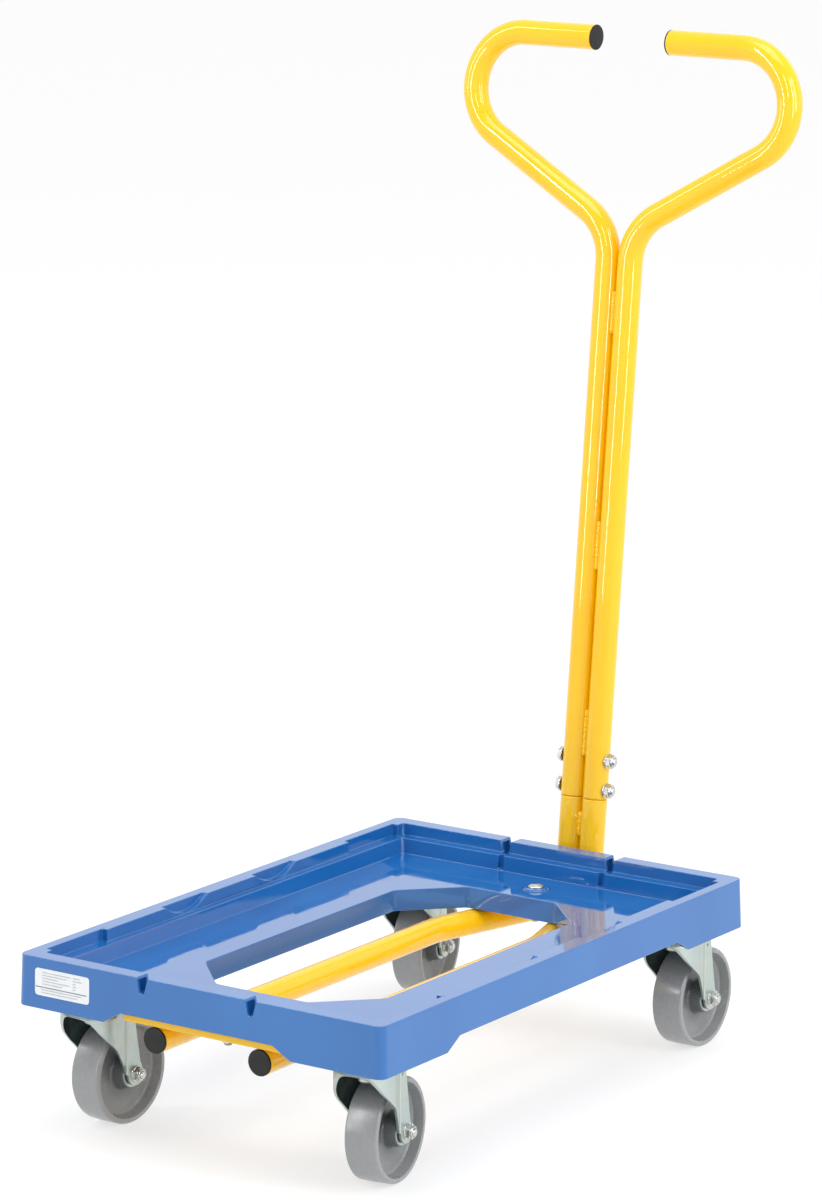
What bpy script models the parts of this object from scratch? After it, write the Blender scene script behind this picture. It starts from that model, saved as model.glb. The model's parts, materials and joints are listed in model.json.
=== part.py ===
"""Platform cart: a moulded tray on two bent rails, with a bolted push handle and four swivel castors.

Metres, +Z up, the ground at z = 0. The handle is at +Y, the front edge of the tray at -Y, and +X is
the right side seen from the front. Everything hangs on one empty, "cart", that sits under the middle
of the tray, and it is set forward so that the world origin is under the middle of the whole cart.
"""
import math

import bmesh
import bpy
from mathutils import Matrix, Vector

# ---------------------------------------------------------------- driving dimensions
GAP = 0.0003                          # clearance between pieces that touch
CUT_MARGIN = 0.001                    # how far a cutter runs past the face it opens

# Tray: a thin moulded shell, a tote fits inside its rim
TRAY_WIDTH = 0.415
TRAY_LENGTH = 0.617
TRAY_WALL = 0.003
TRAY_CORNER = 0.009
RIM_TOP = 0.175
SKIRT_BOTTOM = 0.126
SKIRT_DRAFT = 0.0014                  # how far the skirt stands out at its foot
RIM_WIDTH_SIDE = 0.018
RIM_WIDTH_END = 0.0175
LEDGE_HEIGHT = 0.163
LEDGE_WIDTH_SIDE = 0.0075
LEDGE_WIDTH_END = 0.0115
FLOOR_TOP = 0.1475
FLOOR_DRAFT = 0.002
WINDOW_HALF_X = 0.1045
WINDOW_HALF_Y = 0.2075
WINDOW_CUT = 0.052                    # the 45 degree corners of the window
WINDOW_CORNER = 0.006

# The skirt is shallow between the castors
SHALLOW_BOTTOM = 0.1375
SHALLOW_HALF_X = 0.0865
SHALLOW_HALF_Y = 0.186
SHALLOW_RAMP = 0.0205
SKIRT_CUT_DEPTH = 0.016

NOTCH_X = 0.062                       # tie-down notches in the two end rims
NOTCH_TOP = 0.0125
NOTCH_FOOT = 0.005
NOTCH_DEPTH = 0.0145

# Welded frame and handle, all from one tube
TUBE_RADIUS = 0.0127
TUBE_WALL = 0.002
TUBE_X = 0.0131                       # half the spacing of the two tubes in the post
RAIL_X = 0.060
RAIL_Z = 0.112
RAIL_FRONT_Y = -0.2905
RAIL_BEND_Y = 0.164
RAIL_BEND_RADIUS = 0.090
POST_BEND_RADIUS = 0.048
POST_FOOT_Y = 0.3167                  # where the line of the post meets the ground
POST_LEAN = math.radians(5.95)
JOINT_S = 0.2217                      # lengths along the post, from the ground
BOLT_S = (0.2313, 0.2614)
HANDLE_TOP_S = 0.982
HANDLE_HALF_WIDTH = 0.184
HANDLE_LOOP_RADIUS = 0.056
HANDLE_DIAGONAL = math.radians(30.0)
GRIP_END_X = 0.0445
SPIGOT_RADIUS = 0.0098
SPIGOT_REACH = 0.055                  # how far a spigot goes into each tube
CAP_THICKNESS = {"rail": 0.003, "grip": 0.0014}
CAP_PLUG = 0.012
CAP_PLUG_CLEARANCE = 0.0009
CAP_EDGE = 0.0006

CROSSBAR_HALF_LENGTH = 0.098
CROSSBAR_WIDTH = 0.045
CROSSBAR_THICKNESS = 0.00635
CROSSBAR_Y = (-0.270, 0.240)
CROSSBAR_BOLT_X = 0.008
BOSS_RADIUS = 0.012
BOSS_HEIGHT = 0.002

LABEL_WIDTH = 0.064
LABEL_HEIGHT = 0.026
LABEL_THICKNESS = 0.0004
LABEL_CENTRE_X = -0.1548
LABEL_CENTRE_Z = 0.1523

# Castors
KINGPIN_X = 0.1575
KINGPIN_Y = 0.261
TRAIL = 0.036
WHEEL_RADIUS = 0.050
WHEEL_HALF_WIDTH = 0.0165
HUB_HALF_LENGTH = 0.019
HUB_RADIUS = 0.0145
HUB_ROOT_RADIUS = 0.0175
WEB_HALF = 0.005
RIM_ROOT_RADIUS = 0.0425
RIM_INNER_RADIUS = 0.0445
TREAD_EDGE = 0.0015
PLATE_SIZE = 0.084
PLATE_TOP = 0.130
PLATE_THICKNESS = 0.003
PAD_INSET = 0.001                     # the tray's pad is this much inside the plate
RACE_RADIUS = 0.028
RACE_BEVEL = 0.002
CROWN_TOP = 0.1202
CROWN_RADIUS = 0.0305                 # the round nose of the fork, about the kingpin
FORK_SHEET = 0.0028
FORK_SHOULDER = 0.006                 # radius of the pressed edge round the crown
LEG_FOOT_X = 0.0196                   # inner face of a fork leg beside the hub
LEG_FLAT_Y = 0.0235                   # a leg runs straight back from here, past the hub
LEG_FOOT_RADIUS = 0.0115
LEG_FOOT_MARGIN = 0.002               # the blank runs this far below the foot
FORK_REACH = 0.060                    # how far back the fork's blank runs
FORK_LIP_BOTTOM = 0.1165              # lower edge of the wall round the nose
FORK_CROWN_BACK = 0.032
LEG_FRONT_EDGE = (                    # distance back from the kingpin, height
    (0.0205, 0.0540),
    (0.0160, 0.0610),
    (0.0090, 0.0710),
    (0.0000, 0.0820),
    (-0.0095, 0.0920),
    (-0.0160, 0.0998),
    (-0.0205, 0.1070),
    (-0.0240, 0.1125),
    (-0.0280, 0.1158),
)
LEG_BACK_EDGE = (
    (0.0345, 0.1050),
    (0.0395, 0.0750),
    (0.0425, 0.0590),
)
KINGPIN_RADIUS = 0.0055
RIVET_RADIUS = 0.0085
RIVET_FACE_RADIUS = 0.006
RIVET_BOTTOM = 0.104
RIVET_EDGE = 0.003
BUSH_RADIUS = 0.0062
CASTORS = {                           # side, end, and how far the castor is turned at rest
    "fl": (-1, -1, math.radians(-2.4)),
    "fr": (1, -1, math.radians(7.3)),
    "rl": (-1, 1, math.radians(9.7)),
    "rr": (1, 1, math.radians(0.6)),
}

# M8 fasteners
BOLT_RADIUS = 0.004
HOLE_RADIUS = 0.0046
HEX_FLATS = 0.013
HEX_HEAD = 0.0053
HEX_NUT = 0.0075
ROUND_HEAD_RADIUS = 0.0078
ROUND_HEAD_HEIGHT = 0.003
ROUND_HEAD_SHOULDER = (0.0043, 0.0027)    # where the dome turns down, radius and height
ROUND_HEAD_RIM = 0.001                # thickness of the head at its edge
THREAD_SHOWN = {"crossbar": 0.004, "handle": 0.002, "axle": 0.001}

ROUND_STEPS = 12                      # sides of small round pieces
WHEEL_STEPS = 24
TUBE_RESOLUTION = 4                   # twelve sides
SMOOTH_ANGLE = math.radians(35.0)

# The world origin is under the middle of the cart's length
HANDLE_BACK_Y = POST_FOOT_Y + HANDLE_TOP_S * math.sin(POST_LEAN) + TUBE_RADIUS
CART_Y = -(HANDLE_BACK_Y - TRAY_LENGTH / 2 - SKIRT_DRAFT) / 2

QUARTER = math.pi / 2
TURN_TO_X = Matrix.Rotation(QUARTER, 4, "Y")      # +Z to +X
STAND_UP = Matrix.Rotation(QUARTER, 4, "X")       # a flat outline's y becomes z
SIDE_ON = TURN_TO_X @ Matrix.Rotation(QUARTER, 4, "Z")    # a flat outline's x becomes y, its y z

COLOURS = {                           # colour, metallic, roughness
    "blue_plastic": ((0.065, 0.195, 0.520), 0.0, 0.25),
    "yellow_paint": ((0.940, 0.560, 0.020), 0.0, 0.30),
    "zinc": ((0.620, 0.640, 0.600), 1.0, 0.35),
    "grey_rubber": ((0.240, 0.250, 0.260), 0.0, 0.50),
    "black_plastic": ((0.020, 0.020, 0.020), 0.0, 0.45),
    "white_film": ((0.850, 0.850, 0.860), 0.0, 0.40),
}


# ---------------------------------------------------------------- scene helpers
def clear_scene():
    for item in list(bpy.data.objects):
        bpy.data.objects.remove(item)


def make_material(name):
    colour, metallic, roughness = COLOURS[name]
    material = bpy.data.materials.new(name)
    material.use_nodes = True
    shader = material.node_tree.nodes["Principled BSDF"]
    shader.inputs["Base Color"].default_value = (*colour, 1.0)
    shader.inputs["Metallic"].default_value = metallic
    shader.inputs["Roughness"].default_value = roughness
    return material


def make_empty(name, parent, location=(0.0, 0.0, 0.0), turn=0.0):
    empty = bpy.data.objects.new(name, None)
    empty.location = location
    empty.rotation_euler = (0.0, 0.0, turn)
    empty.parent = parent
    PARTS.objects.link(empty)
    return empty


def place(name, mesh, material, parent):
    """Add one sub-part: its mesh is in the parent's frame."""
    piece = bpy.data.objects.new(name, mesh)
    piece.parent = parent
    PARTS.objects.link(piece)
    if not mesh.materials:
        mesh.materials.append(MATERIALS[material])
    return piece


def bake(item):
    """Return the evaluated mesh of a working object, and remove the object."""
    bpy.context.view_layer.update()
    graph = bpy.context.evaluated_depsgraph_get()
    mesh = bpy.data.meshes.new_from_object(item.evaluated_get(graph))
    bpy.data.objects.remove(item)
    bm = bmesh.new()
    bm.from_mesh(mesh)
    bmesh.ops.remove_doubles(bm, verts=bm.verts, dist=0.00001)
    bm.to_mesh(mesh)
    bm.free()
    mesh.materials.clear()
    mesh.shade_smooth()
    mesh.set_sharp_from_angle(angle=SMOOTH_ANGLE)
    return mesh


def working_object(data):
    item = bpy.data.objects.new("working", data)
    WORKSHOP.objects.link(item)
    return item


def from_bmesh(bm):
    mesh = bpy.data.meshes.new("working")
    bm.to_mesh(mesh)
    bm.free()
    return mesh


def combine(mesh, operation, tools):
    """Join or cut a mesh with others, exactly."""
    item = working_object(mesh)
    cutters = []
    for tool in tools:
        cutter = working_object(tool)
        cutter.hide_render = True
        cutter.display_type = "WIRE"
        cutters.append(cutter)
        step = item.modifiers.new("combine", "BOOLEAN")
        step.object = cutter
        step.operation = operation
        step.solver = "EXACT"
    result = bake(item)
    for cutter in cutters:
        bpy.data.objects.remove(cutter)
    return result


# ---------------------------------------------------------------- basic shapes
def box(size, centre):
    bm = bmesh.new()
    matrix = Matrix.Translation(centre) @ Matrix.Diagonal((*size, 1.0))
    bmesh.ops.create_cube(bm, size=1.0, matrix=matrix)
    return from_bmesh(bm)


def rod(radius, length, centre, turn=Matrix.Identity(4), sides=ROUND_STEPS):
    """A cylinder or a prism, along Z unless it is turned."""
    bm = bmesh.new()
    matrix = Matrix.Translation(centre) @ turn
    bmesh.ops.create_cone(bm, cap_ends=True, segments=sides, radius1=radius, radius2=radius,
                          depth=length, matrix=matrix)
    return from_bmesh(bm)


def hexagon(flats, length, centre, turn=Matrix.Identity(4)):
    return rod(flats / math.sqrt(3.0), length, centre, turn, sides=6)


def turned(profile, steps, loop):
    """Spin (radius, height) points about Z. A loop makes a ring, an open profile ends on the axis."""
    bm = bmesh.new()
    verts = [bm.verts.new((radius, 0.0, height)) for radius, height in profile]
    for first, second in zip(verts, verts[1:]):
        bm.edges.new((first, second))
    if loop:
        bm.edges.new((verts[-1], verts[0]))
    item = working_object(from_bmesh(bm))
    spin = item.modifiers.new("spin", "SCREW")
    spin.axis = "Z"
    spin.steps = steps
    spin.render_steps = steps
    spin.use_merge_vertices = True
    spin.merge_threshold = 0.00005
    spin.use_smooth_shade = True
    return bake(item)


def bridge(bm, rings):
    """Join rings of equal length, anticlockwise seen from above and from the lowest up, with walls."""
    loops = [[bm.verts.new(point) for point in ring] for ring in rings]
    for lower, upper in zip(loops, loops[1:]):
        for index in range(len(lower)):
            after = (index + 1) % len(lower)
            bm.faces.new((lower[index], lower[after], upper[after], upper[index]))
    return loops


def prism(outline, length, matrix):
    """A flat outline of (x, y) points, thick along its own Z, then placed by a matrix."""
    curve = bpy.data.curves.new("working", "CURVE")
    curve.dimensions = "2D"
    curve.fill_mode = "BOTH"
    curve.extrude = length / 2
    spline = curve.splines.new("POLY")
    spline.points.add(len(outline) - 1)
    for point, (x, y) in zip(spline.points, outline):
        point.co = (x, y, 0.0, 1.0)
    spline.use_cyclic_u = True
    mesh = bake(working_object(curve))
    mesh.transform(matrix)
    return mesh


def rounded_path(corners, radii, step=math.radians(15.0)):
    """Points along straight runs, with an arc of the given radius at each inner corner."""
    points = [Vector(corners[0])]
    for before, corner, after, radius in zip(corners, corners[1:], corners[2:], radii):
        corner = Vector(corner)
        arrive = (corner - Vector(before)).normalized()
        leave = (Vector(after) - corner).normalized()
        turn = arrive.angle(leave)
        reach = radius * math.tan(turn / 2)
        inward = (leave - arrive).normalized()
        centre = corner + inward * (radius / math.cos(turn / 2))
        start = corner - arrive * reach - centre
        axis = arrive.cross(leave).normalized()
        pieces = max(2, math.ceil(turn / step))
        for index in range(pieces + 1):
            swing = Matrix.Rotation(turn * index / pieces, 3, axis)
            points.append(centre + swing @ start)
    points.append(Vector(corners[-1]))
    return points


def tube(path):
    """A round tube with an open bore along a list of points."""
    curve = bpy.data.curves.new("working", "CURVE")
    curve.dimensions = "3D"
    curve.bevel_depth = TUBE_RADIUS
    curve.bevel_resolution = TUBE_RESOLUTION
    curve.use_fill_caps = False
    spline = curve.splines.new("POLY")
    spline.points.add(len(path) - 1)
    for point, place_at in zip(spline.points, path):
        point.co = (*place_at, 1.0)
    item = working_object(bake(working_object(curve)))
    wall = item.modifiers.new("wall", "SOLIDIFY")
    wall.thickness = TUBE_WALL
    wall.offset = -1.0
    wall.use_even_offset = True
    return bake(item)


# ---------------------------------------------------------------- tray
def rectangle_ring(half_x, half_y, height, radius=TRAY_CORNER):
    """Sixteen points anticlockwise round a rounded rectangle, four at each corner."""
    ring = []
    for index, (side, end) in enumerate(((1, 1), (-1, 1), (-1, -1), (1, -1))):
        centre = Vector((side * (half_x - radius), end * (half_y - radius), height))
        for step in range(4):
            angle = QUARTER * (index + step / 3)
            ring.append(centre + radius * Vector((math.cos(angle), math.sin(angle), 0.0)))
    return ring


def window_ring(height):
    """Sixteen points round the window: each cut corner has two eased ends."""
    ease = WINDOW_CORNER
    slope = ease * math.sqrt(0.5)
    x, y = WINDOW_HALF_X, WINDOW_HALF_Y
    corner = (
        (x, y - WINDOW_CUT - ease),
        (x - slope, y - WINDOW_CUT + slope),
        (x - WINDOW_CUT + slope, y - slope),
        (x - WINDOW_CUT - ease, y),
    )
    ring = []
    for side, end in ((1, 1), (-1, 1), (-1, -1), (1, -1)):
        points = corner if side == end else reversed(corner)
        ring += [Vector((side * px, end * py, height)) for px, py in points]
    return ring


def tray_shell():
    """The shell runs up the skirt, over the rim, down past the ledge, and across to the window."""
    half_x, half_y = TRAY_WIDTH / 2, TRAY_LENGTH / 2
    rim_x, rim_y = half_x - RIM_WIDTH_SIDE, half_y - RIM_WIDTH_END
    ledge_x, ledge_y = rim_x - LEDGE_WIDTH_SIDE, rim_y - LEDGE_WIDTH_END
    rings = (
        rectangle_ring(half_x + SKIRT_DRAFT, half_y + SKIRT_DRAFT, SKIRT_BOTTOM),
        rectangle_ring(half_x, half_y, RIM_TOP),
        rectangle_ring(rim_x, rim_y, RIM_TOP),
        rectangle_ring(rim_x, rim_y, LEDGE_HEIGHT),
        rectangle_ring(ledge_x, ledge_y, LEDGE_HEIGHT),
        rectangle_ring(ledge_x - FLOOR_DRAFT, ledge_y - FLOOR_DRAFT, FLOOR_TOP),
        window_ring(FLOOR_TOP),
        window_ring(SKIRT_BOTTOM),
    )
    bm = bmesh.new()
    bridge(bm, rings)
    item = working_object(from_bmesh(bm))
    wall = item.modifiers.new("wall", "SOLIDIFY")
    wall.thickness = TRAY_WALL
    wall.offset = -1.0
    wall.use_even_offset = True
    return bake(item)


def skirt_cutters():
    """Four wedges that raise the skirt between the castors."""
    half_x, half_y = TRAY_WIDTH / 2, TRAY_LENGTH / 2
    foot = SKIRT_BOTTOM - CUT_MARGIN
    ramp = SHALLOW_RAMP * (SHALLOW_BOTTOM - foot) / (SHALLOW_BOTTOM - SKIRT_BOTTOM)
    cutters = []
    for half_run, out, turn in ((SHALLOW_HALF_X, half_y, 0.0), (SHALLOW_HALF_Y, half_x, QUARTER)):
        outline = (
            (-half_run - ramp, foot),
            (half_run + ramp, foot),
            (half_run, SHALLOW_BOTTOM),
            (-half_run, SHALLOW_BOTTOM),
        )
        for side in (-1, 1):
            spin = Matrix.Rotation(turn, 4, "Z")
            shift = Matrix.Translation((0.0, side * out, 0.0))
            cutters.append(prism(outline, SKIRT_CUT_DEPTH, spin @ shift @ STAND_UP))
    return cutters


def notch_places():
    middle = TRAY_LENGTH / 2 - RIM_WIDTH_END / 2
    return [(side * NOTCH_X, end * middle) for side in (-1, 1) for end in (-1, 1)]


def notch_pads():
    """Solid stretches inside the end rims, so that a notch opens on to material."""
    size = (NOTCH_TOP + 2 * TRAY_WALL, RIM_WIDTH_END - TRAY_WALL, NOTCH_DEPTH + TRAY_WALL)
    height = RIM_TOP - TRAY_WALL / 2 - size[2] / 2
    return [box(size, (x, y, height)) for x, y in notch_places()]


def notch_cutters():
    outline = (
        (-NOTCH_FOOT / 2, RIM_TOP - NOTCH_DEPTH),
        (NOTCH_FOOT / 2, RIM_TOP - NOTCH_DEPTH),
        (NOTCH_TOP / 2, RIM_TOP + CUT_MARGIN),
        (-NOTCH_TOP / 2, RIM_TOP + CUT_MARGIN),
    )
    length = RIM_WIDTH_END * 1.5
    cutters = []
    for x, y in notch_places():
        cutters.append(prism(outline, length, Matrix.Translation((x, y, 0.0)) @ STAND_UP))
    return cutters


def castor_pads():
    """Open boxes under the floor that the castor plates bolt up against."""
    top = FLOOR_TOP - TRAY_WALL / 2
    bottom = PLATE_TOP + GAP
    height = top - bottom
    outer = PLATE_SIZE - 2 * PAD_INSET
    inner = outer - 2 * TRAY_WALL
    pads = []
    for side, end, _ in CASTORS.values():
        x, y = side * KINGPIN_X, end * KINGPIN_Y
        block = box((outer, outer, height), (x, y, bottom + height / 2))
        hollow_height = height - TRAY_WALL
        hollow = box((inner, inner, hollow_height), (x, y, bottom + hollow_height / 2 - CUT_MARGIN))
        pads.append(combine(block, "DIFFERENCE", [hollow]))
    return pads


def tray_mesh():
    boss_bottom = RAIL_Z + TUBE_RADIUS + CROSSBAR_THICKNESS + 2 * GAP
    boss_top = FLOOR_TOP + BOSS_HEIGHT
    boss_height = boss_top - boss_bottom
    boss_middle = (boss_top + boss_bottom) / 2
    bosses = [rod(BOSS_RADIUS, boss_height, (CROSSBAR_BOLT_X, y, boss_middle)) for y in CROSSBAR_Y]
    bores = [rod(HOLE_RADIUS, 2 * boss_height, (CROSSBAR_BOLT_X, y, boss_middle)) for y in CROSSBAR_Y]
    shell = combine(tray_shell(), "UNION", notch_pads() + castor_pads() + bosses)
    return combine(shell, "DIFFERENCE", skirt_cutters() + notch_cutters() + bores)


def label_mesh():
    """A thin plate that lies flat on the drafted front skirt."""
    tilt = math.atan2(SKIRT_DRAFT, RIM_TOP - SKIRT_BOTTOM)
    drop = RIM_TOP - LABEL_CENTRE_Z
    skirt_y = -TRAY_LENGTH / 2 - drop * math.tan(tilt)
    mesh = box((LABEL_WIDTH, LABEL_THICKNESS, LABEL_HEIGHT), (0.0, -LABEL_THICKNESS / 2 - GAP, 0.0))
    mesh.transform(Matrix.Rotation(-tilt, 4, "X"))
    mesh.transform(Matrix.Translation((LABEL_CENTRE_X, skirt_y, LABEL_CENTRE_Z)))
    return mesh


# ---------------------------------------------------------------- rails and handle
def on_post(x, along):
    """A point at a length along the leaning post."""
    return Vector((x, POST_FOOT_Y + along * math.sin(POST_LEAN), along * math.cos(POST_LEAN)))


def rail_mesh(side):
    foot_y = POST_FOOT_Y + RAIL_Z * math.tan(POST_LEAN)
    corners = (
        (side * RAIL_X, RAIL_FRONT_Y, RAIL_Z),
        (side * RAIL_X, RAIL_BEND_Y, RAIL_Z),
        (side * TUBE_X, foot_y, RAIL_Z),
        on_post(side * TUBE_X, JOINT_S - GAP / 2),
    )
    return tube(rounded_path(corners, (RAIL_BEND_RADIUS, POST_BEND_RADIUS)))


def handle_mesh(side):
    """Up the post, out along the diagonal, round the loop, and back in to the grip's end."""
    turn = math.pi - HANDLE_DIAGONAL
    corner_x = HANDLE_HALF_WIDTH - HANDLE_LOOP_RADIUS + HANDLE_LOOP_RADIUS * math.tan(turn / 2)
    split_s = HANDLE_TOP_S - (corner_x - TUBE_X) * math.tan(HANDLE_DIAGONAL)
    corners = (
        on_post(side * TUBE_X, JOINT_S + GAP / 2),
        on_post(side * TUBE_X, split_s),
        on_post(side * corner_x, HANDLE_TOP_S),
        on_post(side * GRIP_END_X, HANDLE_TOP_S),
    )
    mesh = tube(rounded_path(corners, (HANDLE_LOOP_RADIUS, HANDLE_LOOP_RADIUS)))
    return combine(mesh, "DIFFERENCE", bolt_holes(side))


def bolt_holes(side):
    length = 3 * TUBE_RADIUS
    return [rod(HOLE_RADIUS, length, on_post(side * TUBE_X, along), TURN_TO_X) for along in BOLT_S]


def spigot_mesh(side):
    """The bar inside both tubes that the handle bolts to."""
    lean = Matrix.Rotation(-POST_LEAN, 4, "X")
    bar = rod(SPIGOT_RADIUS, 2 * SPIGOT_REACH, on_post(side * TUBE_X, JOINT_S), lean)
    return combine(bar, "DIFFERENCE", bolt_holes(side))


def cap_mesh(thickness):
    """A push-in plug, its face towards +Z, seated at z = 0."""
    plug_radius = TUBE_RADIUS - TUBE_WALL - CAP_PLUG_CLEARANCE
    profile = (
        (0.0, thickness),
        (TUBE_RADIUS - 2 * CAP_EDGE, thickness),
        (TUBE_RADIUS, thickness - CAP_EDGE),
        (TUBE_RADIUS, GAP),
        (plug_radius, GAP),
        (plug_radius, -CAP_PLUG),
        (0.0, -CAP_PLUG),
    )
    return turned(profile, ROUND_STEPS, loop=False)


def crossbar_mesh(y):
    bottom = RAIL_Z + TUBE_RADIUS + GAP
    centre = (0.0, y, bottom + CROSSBAR_THICKNESS / 2)
    bar = box((2 * CROSSBAR_HALF_LENGTH, CROSSBAR_WIDTH, CROSSBAR_THICKNESS), centre)
    hole = rod(HOLE_RADIUS, 3 * CROSSBAR_THICKNESS, (CROSSBAR_BOLT_X, y, centre[2]))
    return combine(bar, "DIFFERENCE", [hole])


# ---------------------------------------------------------------- fasteners
def hex_bolt_mesh(length):
    """Head below z = 0, shank up +Z."""
    head = hexagon(HEX_FLATS, HEX_HEAD, (0.0, 0.0, -HEX_HEAD / 2))
    overlap = HEX_HEAD / 2
    shank = rod(BOLT_RADIUS, length + overlap, (0.0, 0.0, (length - overlap) / 2))
    return combine(head, "UNION", [shank])


def round_bolt_mesh(length):
    """A low domed head above z = 0, shank down -Z."""
    profile = (
        (0.0, ROUND_HEAD_HEIGHT),
        ROUND_HEAD_SHOULDER,
        (ROUND_HEAD_RADIUS, ROUND_HEAD_RIM),
        (ROUND_HEAD_RADIUS, 0.0),
        (BOLT_RADIUS, 0.0),
        (BOLT_RADIUS, -length),
        (0.0, -length),
    )
    return turned(profile, ROUND_STEPS, loop=False)


def nut_mesh():
    """Seated at z = 0 and standing up +Z."""
    body = hexagon(HEX_FLATS, HEX_NUT, (0.0, 0.0, HEX_NUT / 2))
    thread = rod(BOLT_RADIUS + GAP, 3 * HEX_NUT, (0.0, 0.0, HEX_NUT / 2))
    return combine(body, "DIFFERENCE", [thread])


# ---------------------------------------------------------------- castor
def plate_mesh():
    centre = (0.0, 0.0, PLATE_TOP - PLATE_THICKNESS / 2)
    blank = box((PLATE_SIZE, PLATE_SIZE, PLATE_THICKNESS), centre)
    hole = rod(KINGPIN_RADIUS + GAP, 3 * PLATE_THICKNESS, centre)
    return combine(blank, "DIFFERENCE", [hole])


def race_mesh():
    """The bearing race between the plate and the crown of the fork."""
    top = PLATE_TOP - PLATE_THICKNESS - GAP
    bottom = CROWN_TOP + GAP
    waist = (top + bottom) / 2
    bore = KINGPIN_RADIUS + GAP
    profile = (
        (bore, top),
        (RACE_RADIUS - RACE_BEVEL, top),
        (RACE_RADIUS, waist),
        (RACE_RADIUS - RACE_BEVEL, bottom),
        (bore, bottom),
    )
    return turned(profile, ROUND_STEPS, loop=True)


def kingpin_mesh():
    """The rivet that the fork turns on: flush in the plate, with its head under the crown."""
    seat = CROWN_TOP - FORK_SHEET - GAP
    profile = (
        (0.0, PLATE_TOP - GAP),
        (KINGPIN_RADIUS, PLATE_TOP - GAP),
        (KINGPIN_RADIUS, seat),
        (RIVET_RADIUS, seat),
        (RIVET_RADIUS, RIVET_BOTTOM + RIVET_EDGE),
        (RIVET_FACE_RADIUS, RIVET_BOTTOM),
        (0.0, RIVET_BOTTOM),
    )
    return turned(profile, ROUND_STEPS, loop=False)


def fork_ring(inset, height, reach):
    """Plan of the fork at a height: a round nose, and sides that close in on the hub and run back."""
    nose = CROWN_RADIUS - inset
    foot = LEG_FOOT_X + FORK_SHEET - inset
    angles = [math.pi * (step / 12 - 1) for step in range(13)]
    outline = [(nose * math.cos(angle), nose * math.sin(angle)) for angle in angles]
    outline += [(foot, LEG_FLAT_Y), (foot, reach), (-foot, reach), (-foot, LEG_FLAT_Y)]
    return [Vector((x, y, height)) for x, y in outline]


def fork_blank(inset, reach):
    """The pressing as a solid block, with the given inset all round and a rounded top edge."""
    shoulder = FORK_SHOULDER - inset
    top = CROWN_TOP - inset
    rings = [fork_ring(inset, WHEEL_RADIUS - LEG_FOOT_RADIUS - LEG_FOOT_MARGIN, reach)]
    for step in range(4):
        angle = QUARTER * step / 3
        spread = inset + shoulder * (1 - math.cos(angle))
        rings.append(fork_ring(spread, top - shoulder + shoulder * math.sin(angle), reach))
    bm = bmesh.new()
    loops = bridge(bm, rings)
    bm.faces.new(list(reversed(loops[0])))
    bm.faces.new(loops[-1])
    return from_bmesh(bm)


def fork_side():
    """The side outline of the fork, as a block right across it."""
    foot = [
        (TRAIL + LEG_FOOT_RADIUS * math.cos(angle), WHEEL_RADIUS - LEG_FOOT_RADIUS * math.sin(angle))
        for angle in (math.pi * step / 6 for step in range(7))
    ]
    front = -CROWN_RADIUS - CUT_MARGIN
    top = CROWN_TOP + CUT_MARGIN
    nose = [(front, FORK_LIP_BOTTOM), (front, top), (FORK_CROWN_BACK, top)]
    outline = foot + list(LEG_FRONT_EDGE) + nose + list(LEG_BACK_EDGE)
    return prism(outline, 4 * CROWN_RADIUS, SIDE_ON)


def fork_mesh():
    """A pressed sheet: the crown, a low wall round its nose and two legs down to the axle."""
    hollow = fork_blank(FORK_SHEET, FORK_REACH + CUT_MARGIN)
    shell = combine(fork_blank(0.0, FORK_REACH), "DIFFERENCE", [hollow])
    fork = combine(shell, "INTERSECT", [fork_side()])
    pivot = rod(KINGPIN_RADIUS + GAP, 4 * FORK_SHEET, (0.0, 0.0, CROWN_TOP))
    axle = rod(HOLE_RADIUS, 4 * CROWN_RADIUS, (0.0, TRAIL, WHEEL_RADIUS), TURN_TO_X)
    return combine(fork, "DIFFERENCE", [pivot, axle])


def wheel_mesh():
    """Wide tread, dished sides, a web and a long hub. It spins about X, and it stands on a facet."""
    tread = WHEEL_RADIUS / math.cos(math.pi / WHEEL_STEPS)
    half = (
        (BUSH_RADIUS + 2 * GAP, HUB_HALF_LENGTH),
        (HUB_RADIUS, HUB_HALF_LENGTH),
        (HUB_ROOT_RADIUS, WEB_HALF),
        (RIM_ROOT_RADIUS, WEB_HALF),
        (RIM_INNER_RADIUS, WHEEL_HALF_WIDTH),
        (tread - TREAD_EDGE, WHEEL_HALF_WIDTH),
        (tread, WHEEL_HALF_WIDTH - TREAD_EDGE),
    )
    profile = list(half) + [(radius, -height) for radius, height in reversed(half)]
    mesh = turned(profile, WHEEL_STEPS, loop=True)
    mesh.transform(TURN_TO_X @ Matrix.Rotation(math.pi / WHEEL_STEPS, 4, "Z"))
    return mesh


def bush_mesh():
    """The spacer tube that the legs clamp, and that the wheel runs on."""
    half = LEG_FOOT_X - GAP
    bore = BOLT_RADIUS + GAP
    profile = ((bore, half), (BUSH_RADIUS, half), (BUSH_RADIUS, -half), (bore, -half))
    mesh = turned(profile, ROUND_STEPS, loop=True)
    mesh.transform(TURN_TO_X)
    return mesh


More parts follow.
